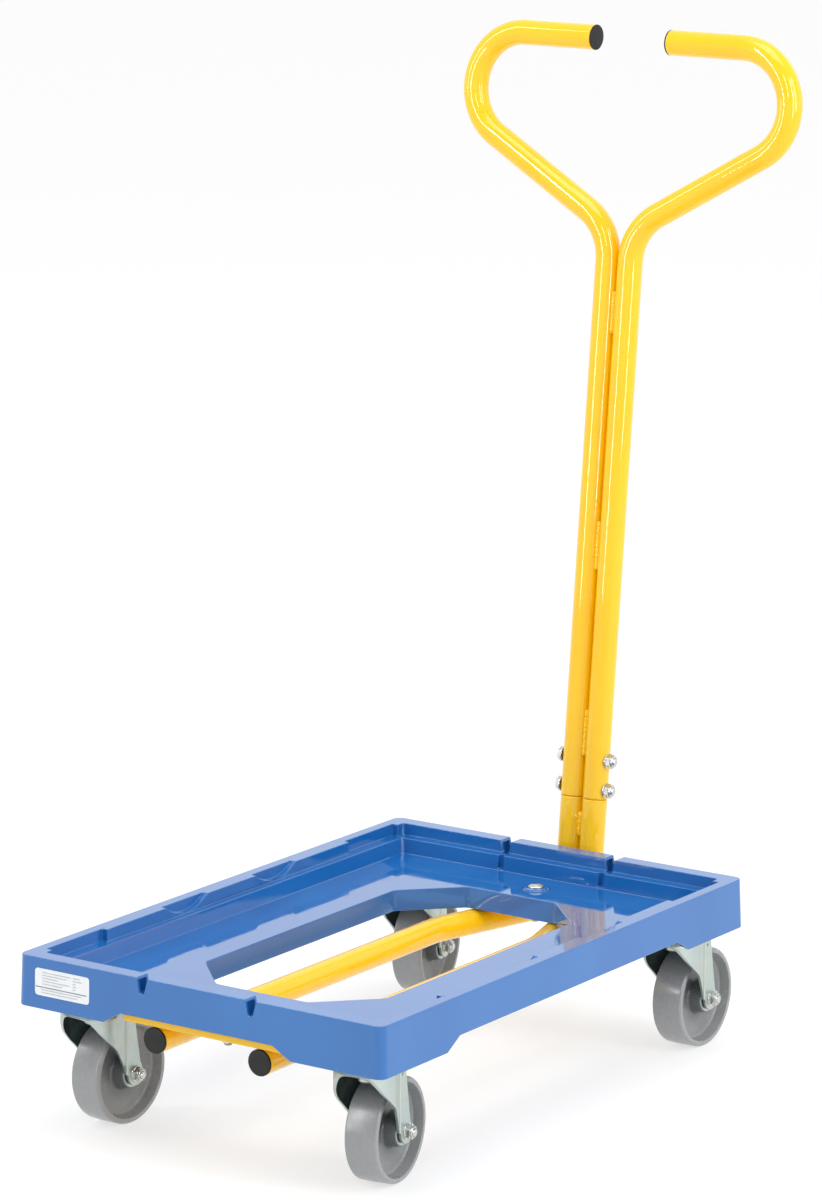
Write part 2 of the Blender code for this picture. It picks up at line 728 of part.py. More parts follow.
# ---------------------------------------------------------------- assembly
def build_deck(cart):
    place("tray", tray_mesh(), "blue_plastic", cart)
    place("data_label", label_mesh(), "white_film", cart)
    bolt_seat = FLOOR_TOP + BOSS_HEIGHT + GAP
    nut_seat = RAIL_Z + TUBE_RADIUS
    bolt = round_bolt_mesh(bolt_seat - nut_seat + HEX_NUT + THREAD_SHOWN["crossbar"])
    nut = nut_mesh()
    nut.transform(Matrix.Rotation(math.pi, 4, "X"))
    for end, y in zip(("front", "rear"), CROSSBAR_Y):
        place("crossbar_" + end, crossbar_mesh(y), "yellow_paint", cart)
        place("crossbar_bolt_" + end, bolt, "zinc", cart).location = (CROSSBAR_BOLT_X, y, bolt_seat)
        place("crossbar_nut_" + end, nut, "zinc", cart).location = (CROSSBAR_BOLT_X, y, nut_seat)


def build_frame_and_handle(cart):
    rail_cap = cap_mesh(CAP_THICKNESS["rail"])
    rail_cap.transform(Matrix.Rotation(QUARTER, 4, "X"))
    for name, side in (("left", -1), ("right", 1)):
        place("rail_" + name, rail_mesh(side), "yellow_paint", cart)
        place("handle_tube_" + name, handle_mesh(side), "yellow_paint", cart)
        place("spigot_" + name, spigot_mesh(side), "zinc", cart)
        place("rail_cap_" + name, rail_cap, "black_plastic", cart).location = (
            side * RAIL_X, RAIL_FRONT_Y, RAIL_Z)
        grip_cap = cap_mesh(CAP_THICKNESS["grip"])
        grip_cap.transform(Matrix.Rotation(-side * QUARTER, 4, "Y"))
        place("grip_cap_" + name, grip_cap, "black_plastic", cart).location = on_post(
            side * GRIP_END_X, HANDLE_TOP_S)
    seat = TUBE_X + TUBE_RADIUS + GAP
    bolt = hex_bolt_mesh(2 * seat + HEX_NUT + THREAD_SHOWN["handle"])
    bolt.transform(TURN_TO_X)
    nut = nut_mesh()
    nut.transform(TURN_TO_X)
    for name, along in zip(("lower", "upper"), BOLT_S):
        place("handle_bolt_" + name, bolt, "zinc", cart).location = on_post(-seat, along)
        place("handle_nut_" + name, nut, "zinc", cart).location = on_post(seat, along)


def build_castors(cart):
    plate, race, kingpin = plate_mesh(), race_mesh(), kingpin_mesh()
    fork, wheel, bush = fork_mesh(), wheel_mesh(), bush_mesh()
    seat = LEG_FOOT_X + FORK_SHEET + GAP
    bolt = hex_bolt_mesh(2 * seat + HEX_NUT + THREAD_SHOWN["axle"])
    bolt.transform(TURN_TO_X)
    nut = nut_mesh()
    nut.transform(TURN_TO_X)
    for name, (side, end, turn) in CASTORS.items():
        mount = make_empty("mount_" + name, cart, (side * KINGPIN_X, end * KINGPIN_Y, 0.0))
        swivel = make_empty("swivel_" + name, mount, turn=turn)
        axle = make_empty("axle_" + name, swivel, (0.0, TRAIL, WHEEL_RADIUS))
        place("castor_plate_" + name, plate, "zinc", mount)
        place("bearing_race_" + name, race, "zinc", mount)
        place("kingpin_" + name, kingpin, "zinc", mount)
        place("fork_" + name, fork, "zinc", swivel)
        place("axle_bolt_" + name, bolt, "zinc", axle).location = (-seat, 0.0, 0.0)
        place("axle_nut_" + name, nut, "zinc", axle).location = (seat, 0.0, 0.0)
        place("axle_bush_" + name, bush, "zinc", axle)
        place("wheel_" + name, wheel, "grey_rubber", axle)


clear_scene()
PARTS = bpy.data.collections.new("platform_cart")
WORKSHOP = bpy.data.collections.new("workshop")
bpy.context.scene.collection.children.link(PARTS)
bpy.context.scene.collection.children.link(WORKSHOP)
MATERIALS = {name: make_material(name) for name in COLOURS}
CART = make_empty("cart", None, (0.0, CART_Y, 0.0))
build_deck(CART)
build_frame_and_handle(CART)
build_castors(CART)
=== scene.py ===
"""Looks for the platform cart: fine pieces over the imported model, their materials, light and camera.

Metres, +Z up. Most pieces are modelled in the cart's own frame, whose origin is on the ground under the
middle of the tray, and castor pieces in their castor's frame, whose origin is under its kingpin.
"""
import json
import math

import bmesh
import bpy
from mathutils import Matrix, Vector, noise


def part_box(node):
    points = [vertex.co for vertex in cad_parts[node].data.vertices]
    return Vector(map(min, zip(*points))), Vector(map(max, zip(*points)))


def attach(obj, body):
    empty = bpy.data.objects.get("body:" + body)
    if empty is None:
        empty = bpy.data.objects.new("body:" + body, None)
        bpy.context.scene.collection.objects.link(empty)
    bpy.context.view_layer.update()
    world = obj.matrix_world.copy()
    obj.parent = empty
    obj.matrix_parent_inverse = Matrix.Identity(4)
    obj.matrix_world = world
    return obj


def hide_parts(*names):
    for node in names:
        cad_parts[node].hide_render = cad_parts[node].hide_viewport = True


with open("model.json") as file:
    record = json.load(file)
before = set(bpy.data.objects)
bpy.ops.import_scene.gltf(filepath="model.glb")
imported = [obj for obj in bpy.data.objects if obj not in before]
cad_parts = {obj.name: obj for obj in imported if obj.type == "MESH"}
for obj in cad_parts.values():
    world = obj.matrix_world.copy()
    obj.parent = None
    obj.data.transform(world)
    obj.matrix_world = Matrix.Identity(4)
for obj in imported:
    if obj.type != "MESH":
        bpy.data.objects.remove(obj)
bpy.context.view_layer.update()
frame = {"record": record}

# ---------------------------------------------------------------- places taken from the frame
TRAY_LOW, TRAY_HIGH = (Vector(corner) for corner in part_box("tray"))
CART = (0.0, (TRAY_LOW.y + TRAY_HIGH.y) / 2, 0.0)
JOINTS = {joint["name"]: joint for joint in frame["record"]["behaviour"]["joints"]}
CASTOR_NAMES = ("fl", "fr", "rl", "rr")
BODY = "cart_frame"

# ---------------------------------------------------------------- tray
SKIRT_DRAFT = 0.0014
HALF_X = TRAY_HIGH.x - SKIRT_DRAFT
HALF_Y = (TRAY_HIGH.y - TRAY_LOW.y) / 2 - SKIRT_DRAFT
RIM_TOP = TRAY_HIGH.z
SKIRT_BOTTOM = TRAY_LOW.z
TRAY_WALL = 0.003
TRAY_CORNER = 0.009
INNER_CORNER = 0.003
RIM_SIDE = 0.018                      # widths of the rim: along the sides, near their ends, at the corners
RIM_SIDE_SLIM = 0.012
RIM_SIDE_CORNER = 0.019
RIM_END = 0.0175
SLIM_FROM_Y = 0.197
CORNER_FROM_Y = 0.281
LEDGE_Z = 0.163
LEDGE_SIDE = 0.0075
LEDGE_END = 0.0115
FLOOR_TOP = 0.1475
FLOOR_DRAFT = 0.002
WINDOW_X = 0.1045
WINDOW_Y = 0.2075
WINDOW_CUT = 0.052
WINDOW_CORNER = 0.009
SHALLOW_BOTTOM = 0.1375
SHALLOW_X = 0.0865
SHALLOW_Y = 0.186
SHALLOW_RAMP = 0.0205
SKIRT_CUT_DEPTH = 0.016
NOTCH_X = 0.062
NOTCH_TOP = 0.0125
NOTCH_FOOT = 0.005
NOTCH_DEPTH = 0.0145
NOTCH_HOLLOW = (0.0095, 0.0055)       # half length and half width of the hollow inside the rim there
SLOT_X = 0.060
SLOT_WIDTH = 0.0065
SLOT_DEPTH = 0.0045
RECESS_Y = 0.0725                     # thumb recesses in the inner face of each side rim
RECESS_RADIUS = 0.056
RECESS_DROP = 0.011
RIB_PITCH = 0.046
RIB_HALF = 0.00125
RIM_MARKS_Y = (-0.194, -0.042, 0.104)
SKIRT_MARKS_Y = (-0.060, 0.090)
SKIRT_MARK_Z = 0.138
LABEL_CORNER = 0.0035
MARGIN = 0.004                        # how far a cutter runs past the face it opens
EDGE = 0.0008                         # moulded edge radius

# ---------------------------------------------------------------- rails and handle
TUBE_RADIUS = 0.0127
TUBE_X = 0.0131
RAIL_X = 0.060
RAIL_Z = 0.112
RAIL_FRONT_Y = -0.2905
RAIL_BEND_Y = 0.164
RAIL_BEND_RADIUS = 0.090
POST_BEND_RADIUS = 0.048
POST_FOOT_Y = 0.3167
POST_LEAN = math.radians(5.95)
JOINT_S = 0.2217                      # lengths along the post, from the ground
JOINT_GAP = 0.0003
BOLT_S = {"lower": 0.2313, "upper": 0.2614}
HANDLE_TOP_S = 0.982
HANDLE_HALF_WIDTH = 0.184
HANDLE_LOOP_RADIUS = 0.056
HANDLE_DIAGONAL = math.radians(30.0)
GRIP_END_X = 0.0445
CAP_THICKNESS = {"rail": 0.003, "grip": 0.0014}
WELDS_S = ((0.181, 0.207), (0.263, 0.311), (0.452, 0.502), (0.690, 0.733))
WELD_OFFSET = 0.0050
WELD_RADIUS = 0.0027
CROSSBAR_Y = {"front": -0.270, "rear": 0.240}
CROSSBAR_BOLT_X = 0.008
BOSS_RADIUS = 0.012
BOSS_HEIGHT = 0.002

# ---------------------------------------------------------------- castors
TRAIL = 0.036
WHEEL_RADIUS = 0.050
WHEEL_HALF_WIDTH = 0.0165
HUB_HALF_LENGTH = 0.018
BUSH_HALF_LENGTH = 0.0193
WEB_HALF = 0.005
WEB_RADII = (0.0172, 0.0425)          # the flat of the web lies between these
WHEEL_BORE = 0.0066
HUB_RADIUS = 0.0148
RIM_INNER = 0.0445
RING_RADII = (0.0098, 0.0138)
RING_STAND = 0.0004
BUSH_RADII = (0.0062, 0.0072)         # the sleeve and its flanges
BUSH_FLANGE = 0.0008
RIVET_RADIUS = 0.0085
RIVET_BOTTOM = 0.104
PLATE_HALF = 0.042
PLATE_TOP = 0.130
PLATE_THICKNESS = 0.003
PLATE_CORNER = 0.008
PLATE_BOLT = 0.0325
PLATE_BOLT_HEAD = 0.0044
CROWN_TOP = 0.1202
CROWN_RADIUS = 0.0305                 # the round nose of the fork, about the kingpin
CROWN_SHOULDER = 0.006
SHEET = 0.0028
LEG_HALF = 0.0226                     # half the width across the strips beside the hub
LEG_STEP = 0.0009                     # how far a strip stands out of its leg
LEG_CREASE = (0.0225, 0.0238)         # where the strip begins, measured back from the kingpin
LEG_FOOT_RADIUS = 0.0115
FORK_REACH = 0.060
FORK_FOOT = 0.036                     # height of the blank's lower end
FORK_LIP_BOTTOM = 0.1165              # lower edge of the wall round the nose
FORK_CROWN_BACK = 0.032
FORK_HOLE = (0.0275, 0.1070)
FORK_HOLE_RADIUS = 0.0011
LEG_FRONT_EDGE = (                    # distance back from the kingpin, height
    (0.0205, 0.0540),
    (0.0160, 0.0610),
    (0.0090, 0.0710),
    (0.0000, 0.0820),
    (-0.0095, 0.0920),
    (-0.0160, 0.0998),
    (-0.0205, 0.1070),
    (-0.0240, 0.1125),
    (-0.0280, 0.1158),
)
LEG_BACK_EDGE = (
    (0.0345, 0.1050),
    (0.0395, 0.0750),
    (0.0425, 0.0590),
)

# ---------------------------------------------------------------- fasteners
BOLT_RADIUS = 0.004
HEX_FLATS = 0.013
HEX_HEAD = 0.0053
HEX_NUT = 0.0075
HEX_CHAMFER = 0.0009
NUT_FLANGE = 0.0078
NUT_COLLAR = 0.0058
NUT_INSERT = 0.0047
WASHER_RADIUS = 0.0080
WASHER = 0.0012
THREAD_DEPTH = 0.0006
THREAD_PITCH = 0.00125
SEAT_GAP = 0.0003
FLOOR_BOLT_REACH = 0.003              # how far each bolt's end stands out of its nut
HANDLE_BOLT_REACH = 0.0017
AXLE_BOLT_REACH = 0.0012

TUBE_SIDES = 40
WHEEL_STEPS = 96
SMALL_STEPS = 32
SMOOTH = math.radians(32.0)
TURN_TO_X = Matrix.Rotation(math.pi / 2, 4, "Y")
TURN_TO_MINUS_X = Matrix.Rotation(-math.pi / 2, 4, "Y")
TURN_TO_MINUS_Y = Matrix.Rotation(math.pi / 2, 4, "X")
STAND_UP = TURN_TO_MINUS_Y            # for outlines drawn across and up
FLIP = Matrix.Rotation(math.pi, 4, "X")
SIDE_ON = TURN_TO_X @ Matrix.Rotation(math.pi / 2, 4, "Z")


# ---------------------------------------------------------------- mesh helpers
def from_bmesh(bm):
    mesh = bpy.data.meshes.new("made")
    bmesh.ops.recalc_face_normals(bm, faces=bm.faces)
    bm.to_mesh(mesh)
    bm.free()
    return mesh


def evaluated(item):
    """The mesh of a working object with its modifiers applied. The object is removed."""
    bpy.context.view_layer.update()
    graph = bpy.context.evaluated_depsgraph_get()
    mesh = bpy.data.meshes.new_from_object(item.evaluated_get(graph))
    bpy.data.objects.remove(item)
    mesh.materials.clear()
    return mesh


def working(mesh):
    item = bpy.data.objects.new("working", mesh)
    bpy.context.scene.collection.objects.link(item)
    return item


def combine(mesh, operation, tools):
    item = working(mesh)
    cutters = [working(tool) for tool in tools]
    for cutter in cutters:
        step = item.modifiers.new("combine", "BOOLEAN")
        step.object = cutter
        step.operation = operation
        step.solver = "EXACT"
    result = evaluated(item)
    for cutter in cutters:
        bpy.data.objects.remove(cutter)
    return result


def soften(mesh, width, segments=3):
    """Round the sharp edges of a mesh, and keep its flat faces flat."""
    bm = bmesh.new()
    bm.from_mesh(mesh)
    bmesh.ops.remove_doubles(bm, verts=bm.verts, dist=0.00002)
    bmesh.ops.dissolve_limit(bm, angle_limit=math.radians(0.5), verts=bm.verts, edges=bm.edges)
    item = working(from_bmesh(bm))
    bevel = item.modifiers.new("edges", "BEVEL")
    bevel.width = width
    bevel.segments = segments
    bevel.limit_method = "ANGLE"
    bevel.angle_limit = SMOOTH
    bevel.use_clamp_overlap = False
    bevel.miter_outer = "MITER_ARC"
    result = evaluated(item)
    return smooth_by_weight(result)


def smooth_by_weight(mesh):
    mesh.shade_smooth()
    mesh.set_sharp_from_angle(angle=math.radians(50.0))
    item = working(mesh)
    weighted = item.modifiers.new("normals", "WEIGHTED_NORMAL")
    weighted.keep_sharp = True
    return evaluated(item)


def loft(rings):
    """A closed solid through rings of equal length, flat at both ends."""
    bm = bmesh.new()
    loops = [[bm.verts.new(point) for point in ring] for ring in rings]
    for lower, upper in zip(loops, loops[1:]):
        for index in range(len(lower)):
            after = (index + 1) % len(lower)
            bm.faces.new((lower[index], lower[after], upper[after], upper[index]))
    bm.faces.new(list(reversed(loops[0])))
    bm.faces.new(loops[-1])
    return from_bmesh(bm)


def level(outline, height):
    return [Vector((x, y, height)) for x, y in outline]


def prism(outline, low, high, matrix=Matrix.Identity(4)):
    mesh = loft([level(outline, low), level(outline, high)])
    mesh.transform(matrix)
    return mesh


def block(low, high):
    outline = ((low[0], low[1]), (high[0], low[1]), (high[0], high[1]), (low[0], high[1]))
    return prism(outline, low[2], high[2])


def lathe(profile, steps=SMALL_STEPS, loop=False):
    """Turn (radius, height) points about Z. A loop makes a ring, an open profile ends on the axis."""
    bm = bmesh.new()
    rows = []
    for radius, height in profile:
        if radius < 1e-7:
            rows.append([bm.verts.new((0.0, 0.0, height))] * steps)
            continue
        angles = [2 * math.pi * step / steps for step in range(steps)]
        rows.append([bm.verts.new((radius * math.cos(a), radius * math.sin(a), height)) for a in angles])
    pairs = list(zip(rows, rows[1:]))
    if loop:
        pairs.append((rows[-1], rows[0]))
    for first, second in pairs:
        for index in range(steps):
            after = (index + 1) % steps
            corners = []
            for vert in (first[index], first[after], second[after], second[index]):
                if vert not in corners:
                    corners.append(vert)
            bm.faces.new(corners)
    mesh = from_bmesh(bm)
    mesh.shade_smooth()
    mesh.set_sharp_from_angle(angle=SMOOTH)
    return mesh


def eased(points, radii, closed=False, step=math.radians(15.0)):
    """A flat outline whose corners are arcs. A radius of zero keeps its corner."""
    points = [Vector(point) for point in points]
    count = len(points)
    result = []
    for index, (corner, radius) in enumerate(zip(points, radii)):
        if radius == 0.0 or (not closed and index in (0, count - 1)):
            result.append(tuple(corner))
            continue
        arrive = (corner - points[index - 1]).normalized()
        leave = (points[(index + 1) % count] - corner).normalized()
        turn = math.atan2(arrive.cross(leave), arrive.dot(leave))
        start = corner - arrive * (radius * math.tan(abs(turn) / 2))
        centre = start + Vector((-arrive.y, arrive.x)) * math.copysign(radius, turn)
        pieces = max(2, math.ceil(abs(turn) / step))
        for part in range(pieces + 1):
            result.append(tuple(centre + Matrix.Rotation(turn * part / pieces, 2) @ (start - centre)))
    return result


def eased_all(points, radius):
    """A closed outline with the same arc at each corner."""
    return eased(points, [radius] * len(points), closed=True)


def smooth_run(points, pieces=5):
    """A Catmull-Rom run through flat points."""
    padded = [points[0], *points, points[-1]]
    result = []
    for a, b, c, d in zip(padded, padded[1:], padded[2:], padded[3:]):
        for step in range(pieces):
            t = step / pieces
            weights = (-t + 2 * t * t - t ** 3, 2 - 5 * t * t + 3 * t ** 3,
                       t + 4 * t * t - 3 * t ** 3, t ** 3 - t * t)
            pulls = list(zip(weights, (a, b, c, d)))
            result.append(tuple(sum(weight * point[axis] for weight, point in pulls) / 2 for axis in (0, 1)))
    result.append(points[-1])
    return result


def rounded_path(corners, radii, step=math.radians(4.0)):
    """Points along straight runs, with an arc of the given radius at each inner corner."""
    points = [Vector(corners[0])]
    for before, corner, after, radius in zip(corners, corners[1:], corners[2:], radii):
        corner = Vector(corner)
        arrive = (corner - Vector(before)).normalized()
        leave = (Vector(after) - corner).normalized()
        turn = arrive.angle(leave)
        reach = radius * math.tan(turn / 2)
        centre = corner + (leave - arrive).normalized() * (radius / math.cos(turn / 2))
        start = corner - arrive * reach - centre
        axis = arrive.cross(leave).normalized()
        pieces = max(2, math.ceil(turn / step))
        angles = [turn * part / pieces for part in range(pieces + 1)]
        points += [centre + Matrix.Rotation(angle, 3, axis) @ start for angle in angles]
    points.append(Vector(corners[-1]))
    return points


def sweep(path, radius_at, sides):
    """A closed round bar along a path. radius_at(index, angle) gives its radius."""
    bm = bmesh.new()
    rows = []
    across = None
    for index, point in enumerate(path):
        ahead = path[min(index + 1, len(path) - 1)] - path[max(index - 1, 0)]
        ahead.normalize()
        if across is None:
            across = ahead.orthogonal().normalized()
        across = (across - ahead * across.dot(ahead)).normalized()
        up = ahead.cross(across)
        row = []
        for side in range(sides):
            angle = 2 * math.pi * side / sides
            spoke = across * math.cos(angle) + up * math.sin(angle)
            row.append(bm.verts.new(point + spoke * radius_at(index, angle)))
        rows.append(row)
    for first, second in zip(rows, rows[1:]):
        for index in range(sides):
            after = (index + 1) % sides
            bm.faces.new((first[index], first[after], second[after], second[index]))
    bm.faces.new(list(reversed(rows[0])))
    bm.faces.new(rows[-1])
    mesh = from_bmesh(bm)
    mesh.shade_smooth()
    mesh.set_sharp_from_angle(angle=math.radians(50.0))
    return mesh


def tube(path):
    """A painted tube. Its cut ends are eased by half a millimetre, which a second ring keeps short."""
    ease = 0.0005
    first = (path[1] - path[0]).normalized()
    last = (path[-2] - path[-1]).normalized()
    start = [path[0] + first * reach for reach in (0.0, ease, 3 * ease)]
    finish = [path[-1] + last * reach for reach in (3 * ease, ease, 0.0)]
    full = start + path[1:-1] + finish
    end = len(full) - 1

    def radius_at(index, _angle):
        return TUBE_RADIUS - (ease if index in (0, end) else 0.0)

    return sweep(full, radius_at, TUBE_SIDES)


# ---------------------------------------------------------------- materials
class Look:
    """Short calls for building one node material."""

    def __init__(self, name, slot_name, **shader_values):
        self.slot_name = slot_name
        self.material = bpy.data.materials.new(name)
        self.material.use_nodes = True
        self.tree = self.material.node_tree
        self.shader = self.tree.nodes["Principled BSDF"]
        for socket, value in shader_values.items():
            self.shader.inputs[socket.replace("_", " ")].default_value = value
        self.place = self.tree.nodes.new("ShaderNodeTexCoord").outputs["Object"]

    def stretched(self, scale):
        mapping = self.tree.nodes.new("ShaderNodeMapping")
        mapping.inputs["Scale"].default_value = scale
        self.tree.links.new(self.place, mapping.inputs["Vector"])
        return mapping.outputs["Vector"]

    def radius(self):
        """Distance from the piece's own Z axis."""
        length = self.tree.nodes.new("ShaderNodeVectorMath")
        length.operation = "LENGTH"
        self.tree.links.new(self.stretched((1.0, 1.0, 0.0)), length.inputs[0])
        return length.outputs["Value"]

    def grain(self, scale, detail=3.0, stretch=(1.0, 1.0, 1.0)):
        texture = self.tree.nodes.new("ShaderNodeTexNoise")
        texture.inputs["Scale"].default_value = scale
        texture.inputs["Detail"].default_value = detail
        self.tree.links.new(self.stretched(stretch), texture.inputs["Vector"])
        return texture.outputs["Fac"]

    def spread(self, value, low, high, start=0.3, end=0.7):
        remap = self.tree.nodes.new("ShaderNodeMapRange")
        remap.inputs["From Min"].default_value = start
        remap.inputs["From Max"].default_value = end
        remap.inputs["To Min"].default_value = low
        remap.inputs["To Max"].default_value = high
        self.tree.links.new(value, remap.inputs["Value"])
        return remap.outputs["Result"]

    def blend(self, factor, first, second):
        mix = self.tree.nodes.new("ShaderNodeMix")
        mix.data_type = "RGBA"
        self.tree.links.new(factor, mix.inputs["Factor"])
        for socket, colour in ((mix.inputs[6], first), (mix.inputs[7], second)):
            if isinstance(colour, tuple):
                socket.default_value = (*colour, 1.0)
            else:
                self.tree.links.new(colour, socket)
        return mix.outputs[2]

    def drive(self, socket, value):
        self.tree.links.new(value, self.shader.inputs[socket])

    def bump(self, heights):
        """Bumps of (height, depth in metres), one on another."""
        normal = None
        for height, depth in heights:
            node = self.tree.nodes.new("ShaderNodeBump")
            node.inputs["Distance"].default_value = depth
            self.tree.links.new(height, node.inputs["Height"])
            if normal is not None:
                self.tree.links.new(normal, node.inputs["Normal"])
            normal = node.outputs["Normal"]
        self.drive("Normal", normal)


def blue_look():
    """Glossy moulded plastic with faint flow streaks and a few dull scuffs."""
    look = Look("blue_plastic_look", "blue_plastic", IOR=1.50, Coat_Weight=0.5, Coat_Roughness=0.03)
    flow = look.spread(look.grain(9.0, 4.0, (1.0, 1.0, 0.25)), 0.0, 1.0)
    look.drive("Base Color", look.blend(flow, (0.010, 0.120, 0.400), (0.016, 0.148, 0.445)))
    scuffs = look.spread(look.grain(45.0, 6.0, (1.0, 1.0, 0.35)), 0.05, 0.16, 0.50, 0.78)
    look.drive("Roughness", scuffs)
    look.bump(((look.grain(26.0, 2.0), 0.00007), (look.grain(420.0, 3.0), 0.000004)))
    return look


def yellow_look():
    """Powder coat: thick, glossy and a little uneven."""
    look = Look("yellow_paint_look", "yellow_paint", Specular_IOR_Level=0.1, Coat_Weight=1.0,
                Coat_Roughness=0.02)
    tone = look.spread(look.grain(14.0, 3.0), 0.0, 1.0)
    look.drive("Base Color", look.blend(tone, (0.955, 0.535, 0.002), (0.980, 0.570, 0.004)))
    look.drive("Roughness", look.spread(look.grain(60.0, 4.0), 0.24, 0.34))
    look.bump(((look.grain(70.0, 2.0), 0.00001),))
    return look


def zinc_look():
    """Bright zinc plate with the pale yellow and blue cast of its passivation."""
    look = Look("zinc_look", "zinc", Metallic=1.0)
    cast = look.spread(look.grain(38.0, 3.0), 0.0, 1.0)
    plate = look.blend(cast, (0.440, 0.532, 0.535), (0.520, 0.552, 0.490))
    spots = look.spread(look.grain(260.0, 5.0), 0.0, 1.0, 0.60, 0.80)
    look.drive("Base Color", look.blend(spots, plate, (0.420, 0.450, 0.420)))
    look.drive("Roughness", look.spread(look.grain(110.0, 5.0), 0.30, 0.46))
    look.bump(((look.grain(700.0, 4.0), 0.00002),))
    return look


def zinc_painted_shade_look():
    """Painted shade: a dull, dark copy of the zinc for the faces inside a fork, with a random tone over it.
    """
    look = Look("zinc_painted_shade_look", "zinc", Metallic=0.6)
    shade_tone = look.spread(look.grain(120.0, 5.0), 0.0, 1.0)
    # Painted shade: near-black zinc that stands in for the shade on the faces inside the fork.
    look.drive("Base Color", look.blend(shade_tone, (0.030, 0.052, 0.050), (0.060, 0.085, 0.078)))
    look.drive("Roughness", look.spread(look.grain(90.0, 4.0), 0.45, 0.62))
    look.bump(((look.grain(700.0, 3.0), 0.00002),))
    return look


def fastener_look():
    look = Look("fastener_look", "zinc", Metallic=1.0)
    tone = look.spread(look.grain(160.0, 3.0), 0.0, 1.0)
    look.drive("Base Color", look.blend(tone, (0.560, 0.580, 0.570), (0.680, 0.680, 0.630)))
    look.drive("Roughness", look.spread(look.grain(220.0, 3.0), 0.14, 0.28))
    look.bump(((look.grain(500.0, 2.0), 0.000008),))
    return look


def wheel_look():
    """Satin moulded grey with fine mould texture, some rolled-on dirt, and painted shade that darkens the
    dish round the hub.
    """
    look = Look("wheel_look", "grey_rubber", IOR=1.55)
    tone = look.spread(look.grain(24.0, 4.0), 0.0, 1.0)
    grey = look.blend(tone, (0.262, 0.273, 0.282), (0.300, 0.308, 0.310))
    dirt = look.spread(look.grain(150.0, 6.0), 0.0, 0.4, 0.60, 0.82)
    worn = look.blend(dirt, grey, (0.210, 0.200, 0.180))
    # Painted shade: the grey darkens towards the hub, where the dish lies in shade.
    hub = look.spread(look.radius(), 1.0, 0.0, 0.016, 0.040)
    look.drive("Base Color", look.blend(hub, worn, (0.105, 0.112, 0.116)))
    look.drive("Roughness", look.spread(look.grain(75.0, 4.0), 0.22, 0.32))
    look.bump(((look.grain(620.0, 3.0), 0.00003),))
    return look


def cap_look():
    look = Look("cap_look", "black_plastic", Specular_IOR_Level=0.3)
    tone = look.spread(look.grain(90.0, 4.0), 0.0, 1.0)
    look.drive("Base Color", look.blend(tone, (0.006, 0.006, 0.006), (0.014, 0.014, 0.013)))
    look.drive("Roughness", look.spread(look.grain(130.0, 4.0), 0.38, 0.55))
    look.bump(((look.grain(1100.0, 3.0), 0.00005),))
    return look


def film_look(name, first, second):
    look = Look(name, "white_film", IOR=1.45)
    look.drive("Base Color", look.blend(look.spread(look.grain(180.0, 3.0), 0.0, 1.0), first, second))
    look.drive("Roughness", look.spread(look.grain(240.0, 3.0), 0.28, 0.42))
    look.bump(((look.grain(500.0, 2.0), 0.00001),))
    return look


BLUE = blue_look()
YELLOW = yellow_look()
ZINC = zinc_look()
ZINC_PAINTED_SHADE = zinc_painted_shade_look()
FASTENER = fastener_look()
WHEEL = wheel_look()
CAP = cap_look()
FILM = film_look("label_film_look", (0.74, 0.77, 0.80), (0.79, 0.82, 0.85))
INK = film_look("label_ink_look", (0.42, 0.42, 0.45), (0.50, 0.50, 0.52))
RULE = film_look("label_rule_look", (0.07, 0.05, 0.05), (0.11, 0.08, 0.08))


def add(name, mesh, look, body=BODY, stands_for=(), place=None):
    """Put one piece in the scene, on its body."""
    piece = bpy.data.objects.new(name, mesh)
    bpy.context.scene.collection.objects.link(piece)
    piece.matrix_world = place if place is not None else Matrix.Translation(CART)
    mesh.materials.append(look.material)
    bpy.context.view_layer.update()
    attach(piece, body)
    if stands_for:
        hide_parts(*stands_for)
    return piece


# ---------------------------------------------------------------- tray
def rectangle(half_x, half_y, radius):
    return eased_all(((half_x, -half_y), (half_x, half_y), (-half_x, half_y), (-half_x, -half_y)), radius)


def mirrored(quadrant):
    """The whole anticlockwise outline from its quarter at +X +Y, which runs from +X round to +Y."""
    back = [(-x, y) for x, y in reversed(quadrant)]
    half = quadrant + back
    return half + [(-x, -y) for x, y in half]


def rim_opening():
    """Inner edge of the rim, which is slimmer near the ends of the sides."""
    wide = HALF_X - RIM_SIDE
    slim = HALF_X - RIM_SIDE_SLIM
    corner = HALF_X - RIM_SIDE_CORNER
    quadrant = [(wide, SLIM_FROM_Y), (slim, SLIM_FROM_Y), (slim, CORNER_FROM_Y), (corner, CORNER_FROM_Y)]
    corner_arc = eased(((corner, CORNER_FROM_Y), (corner, HALF_Y - RIM_END), (0.0, HALF_Y - RIM_END)),
                       (0.0, INNER_CORNER, 0.0))
    return mirrored(quadrant + corner_arc[1:-1])


def window(grow):
    x, y, cut = WINDOW_X + grow, WINDOW_Y + grow, WINDOW_CUT + grow * (2 - math.sqrt(2.0))
    corners = mirrored([(x, y - cut), (x - cut, y)])
    return eased_all(corners, WINDOW_CORNER)


def recess_cutters():
    centre_z = RIM_TOP + RECESS_RADIUS - RECESS_DROP
    low, high = HALF_X - RIM_SIDE - MARGIN, HALF_X - RIM_SIDE_SLIM
    disc = [(0.0, low), (RECESS_RADIUS, low), (RECESS_RADIUS, high), (0.0, high)]
    cutters = []
    for turn in (TURN_TO_X, TURN_TO_MINUS_X):
        for y in (-RECESS_Y, RECESS_Y):
            cutter = lathe(disc, 96)
            cutter.transform(Matrix.Translation((0.0, y, centre_z)) @ turn)
            cutters.append(cutter)
    return cutters


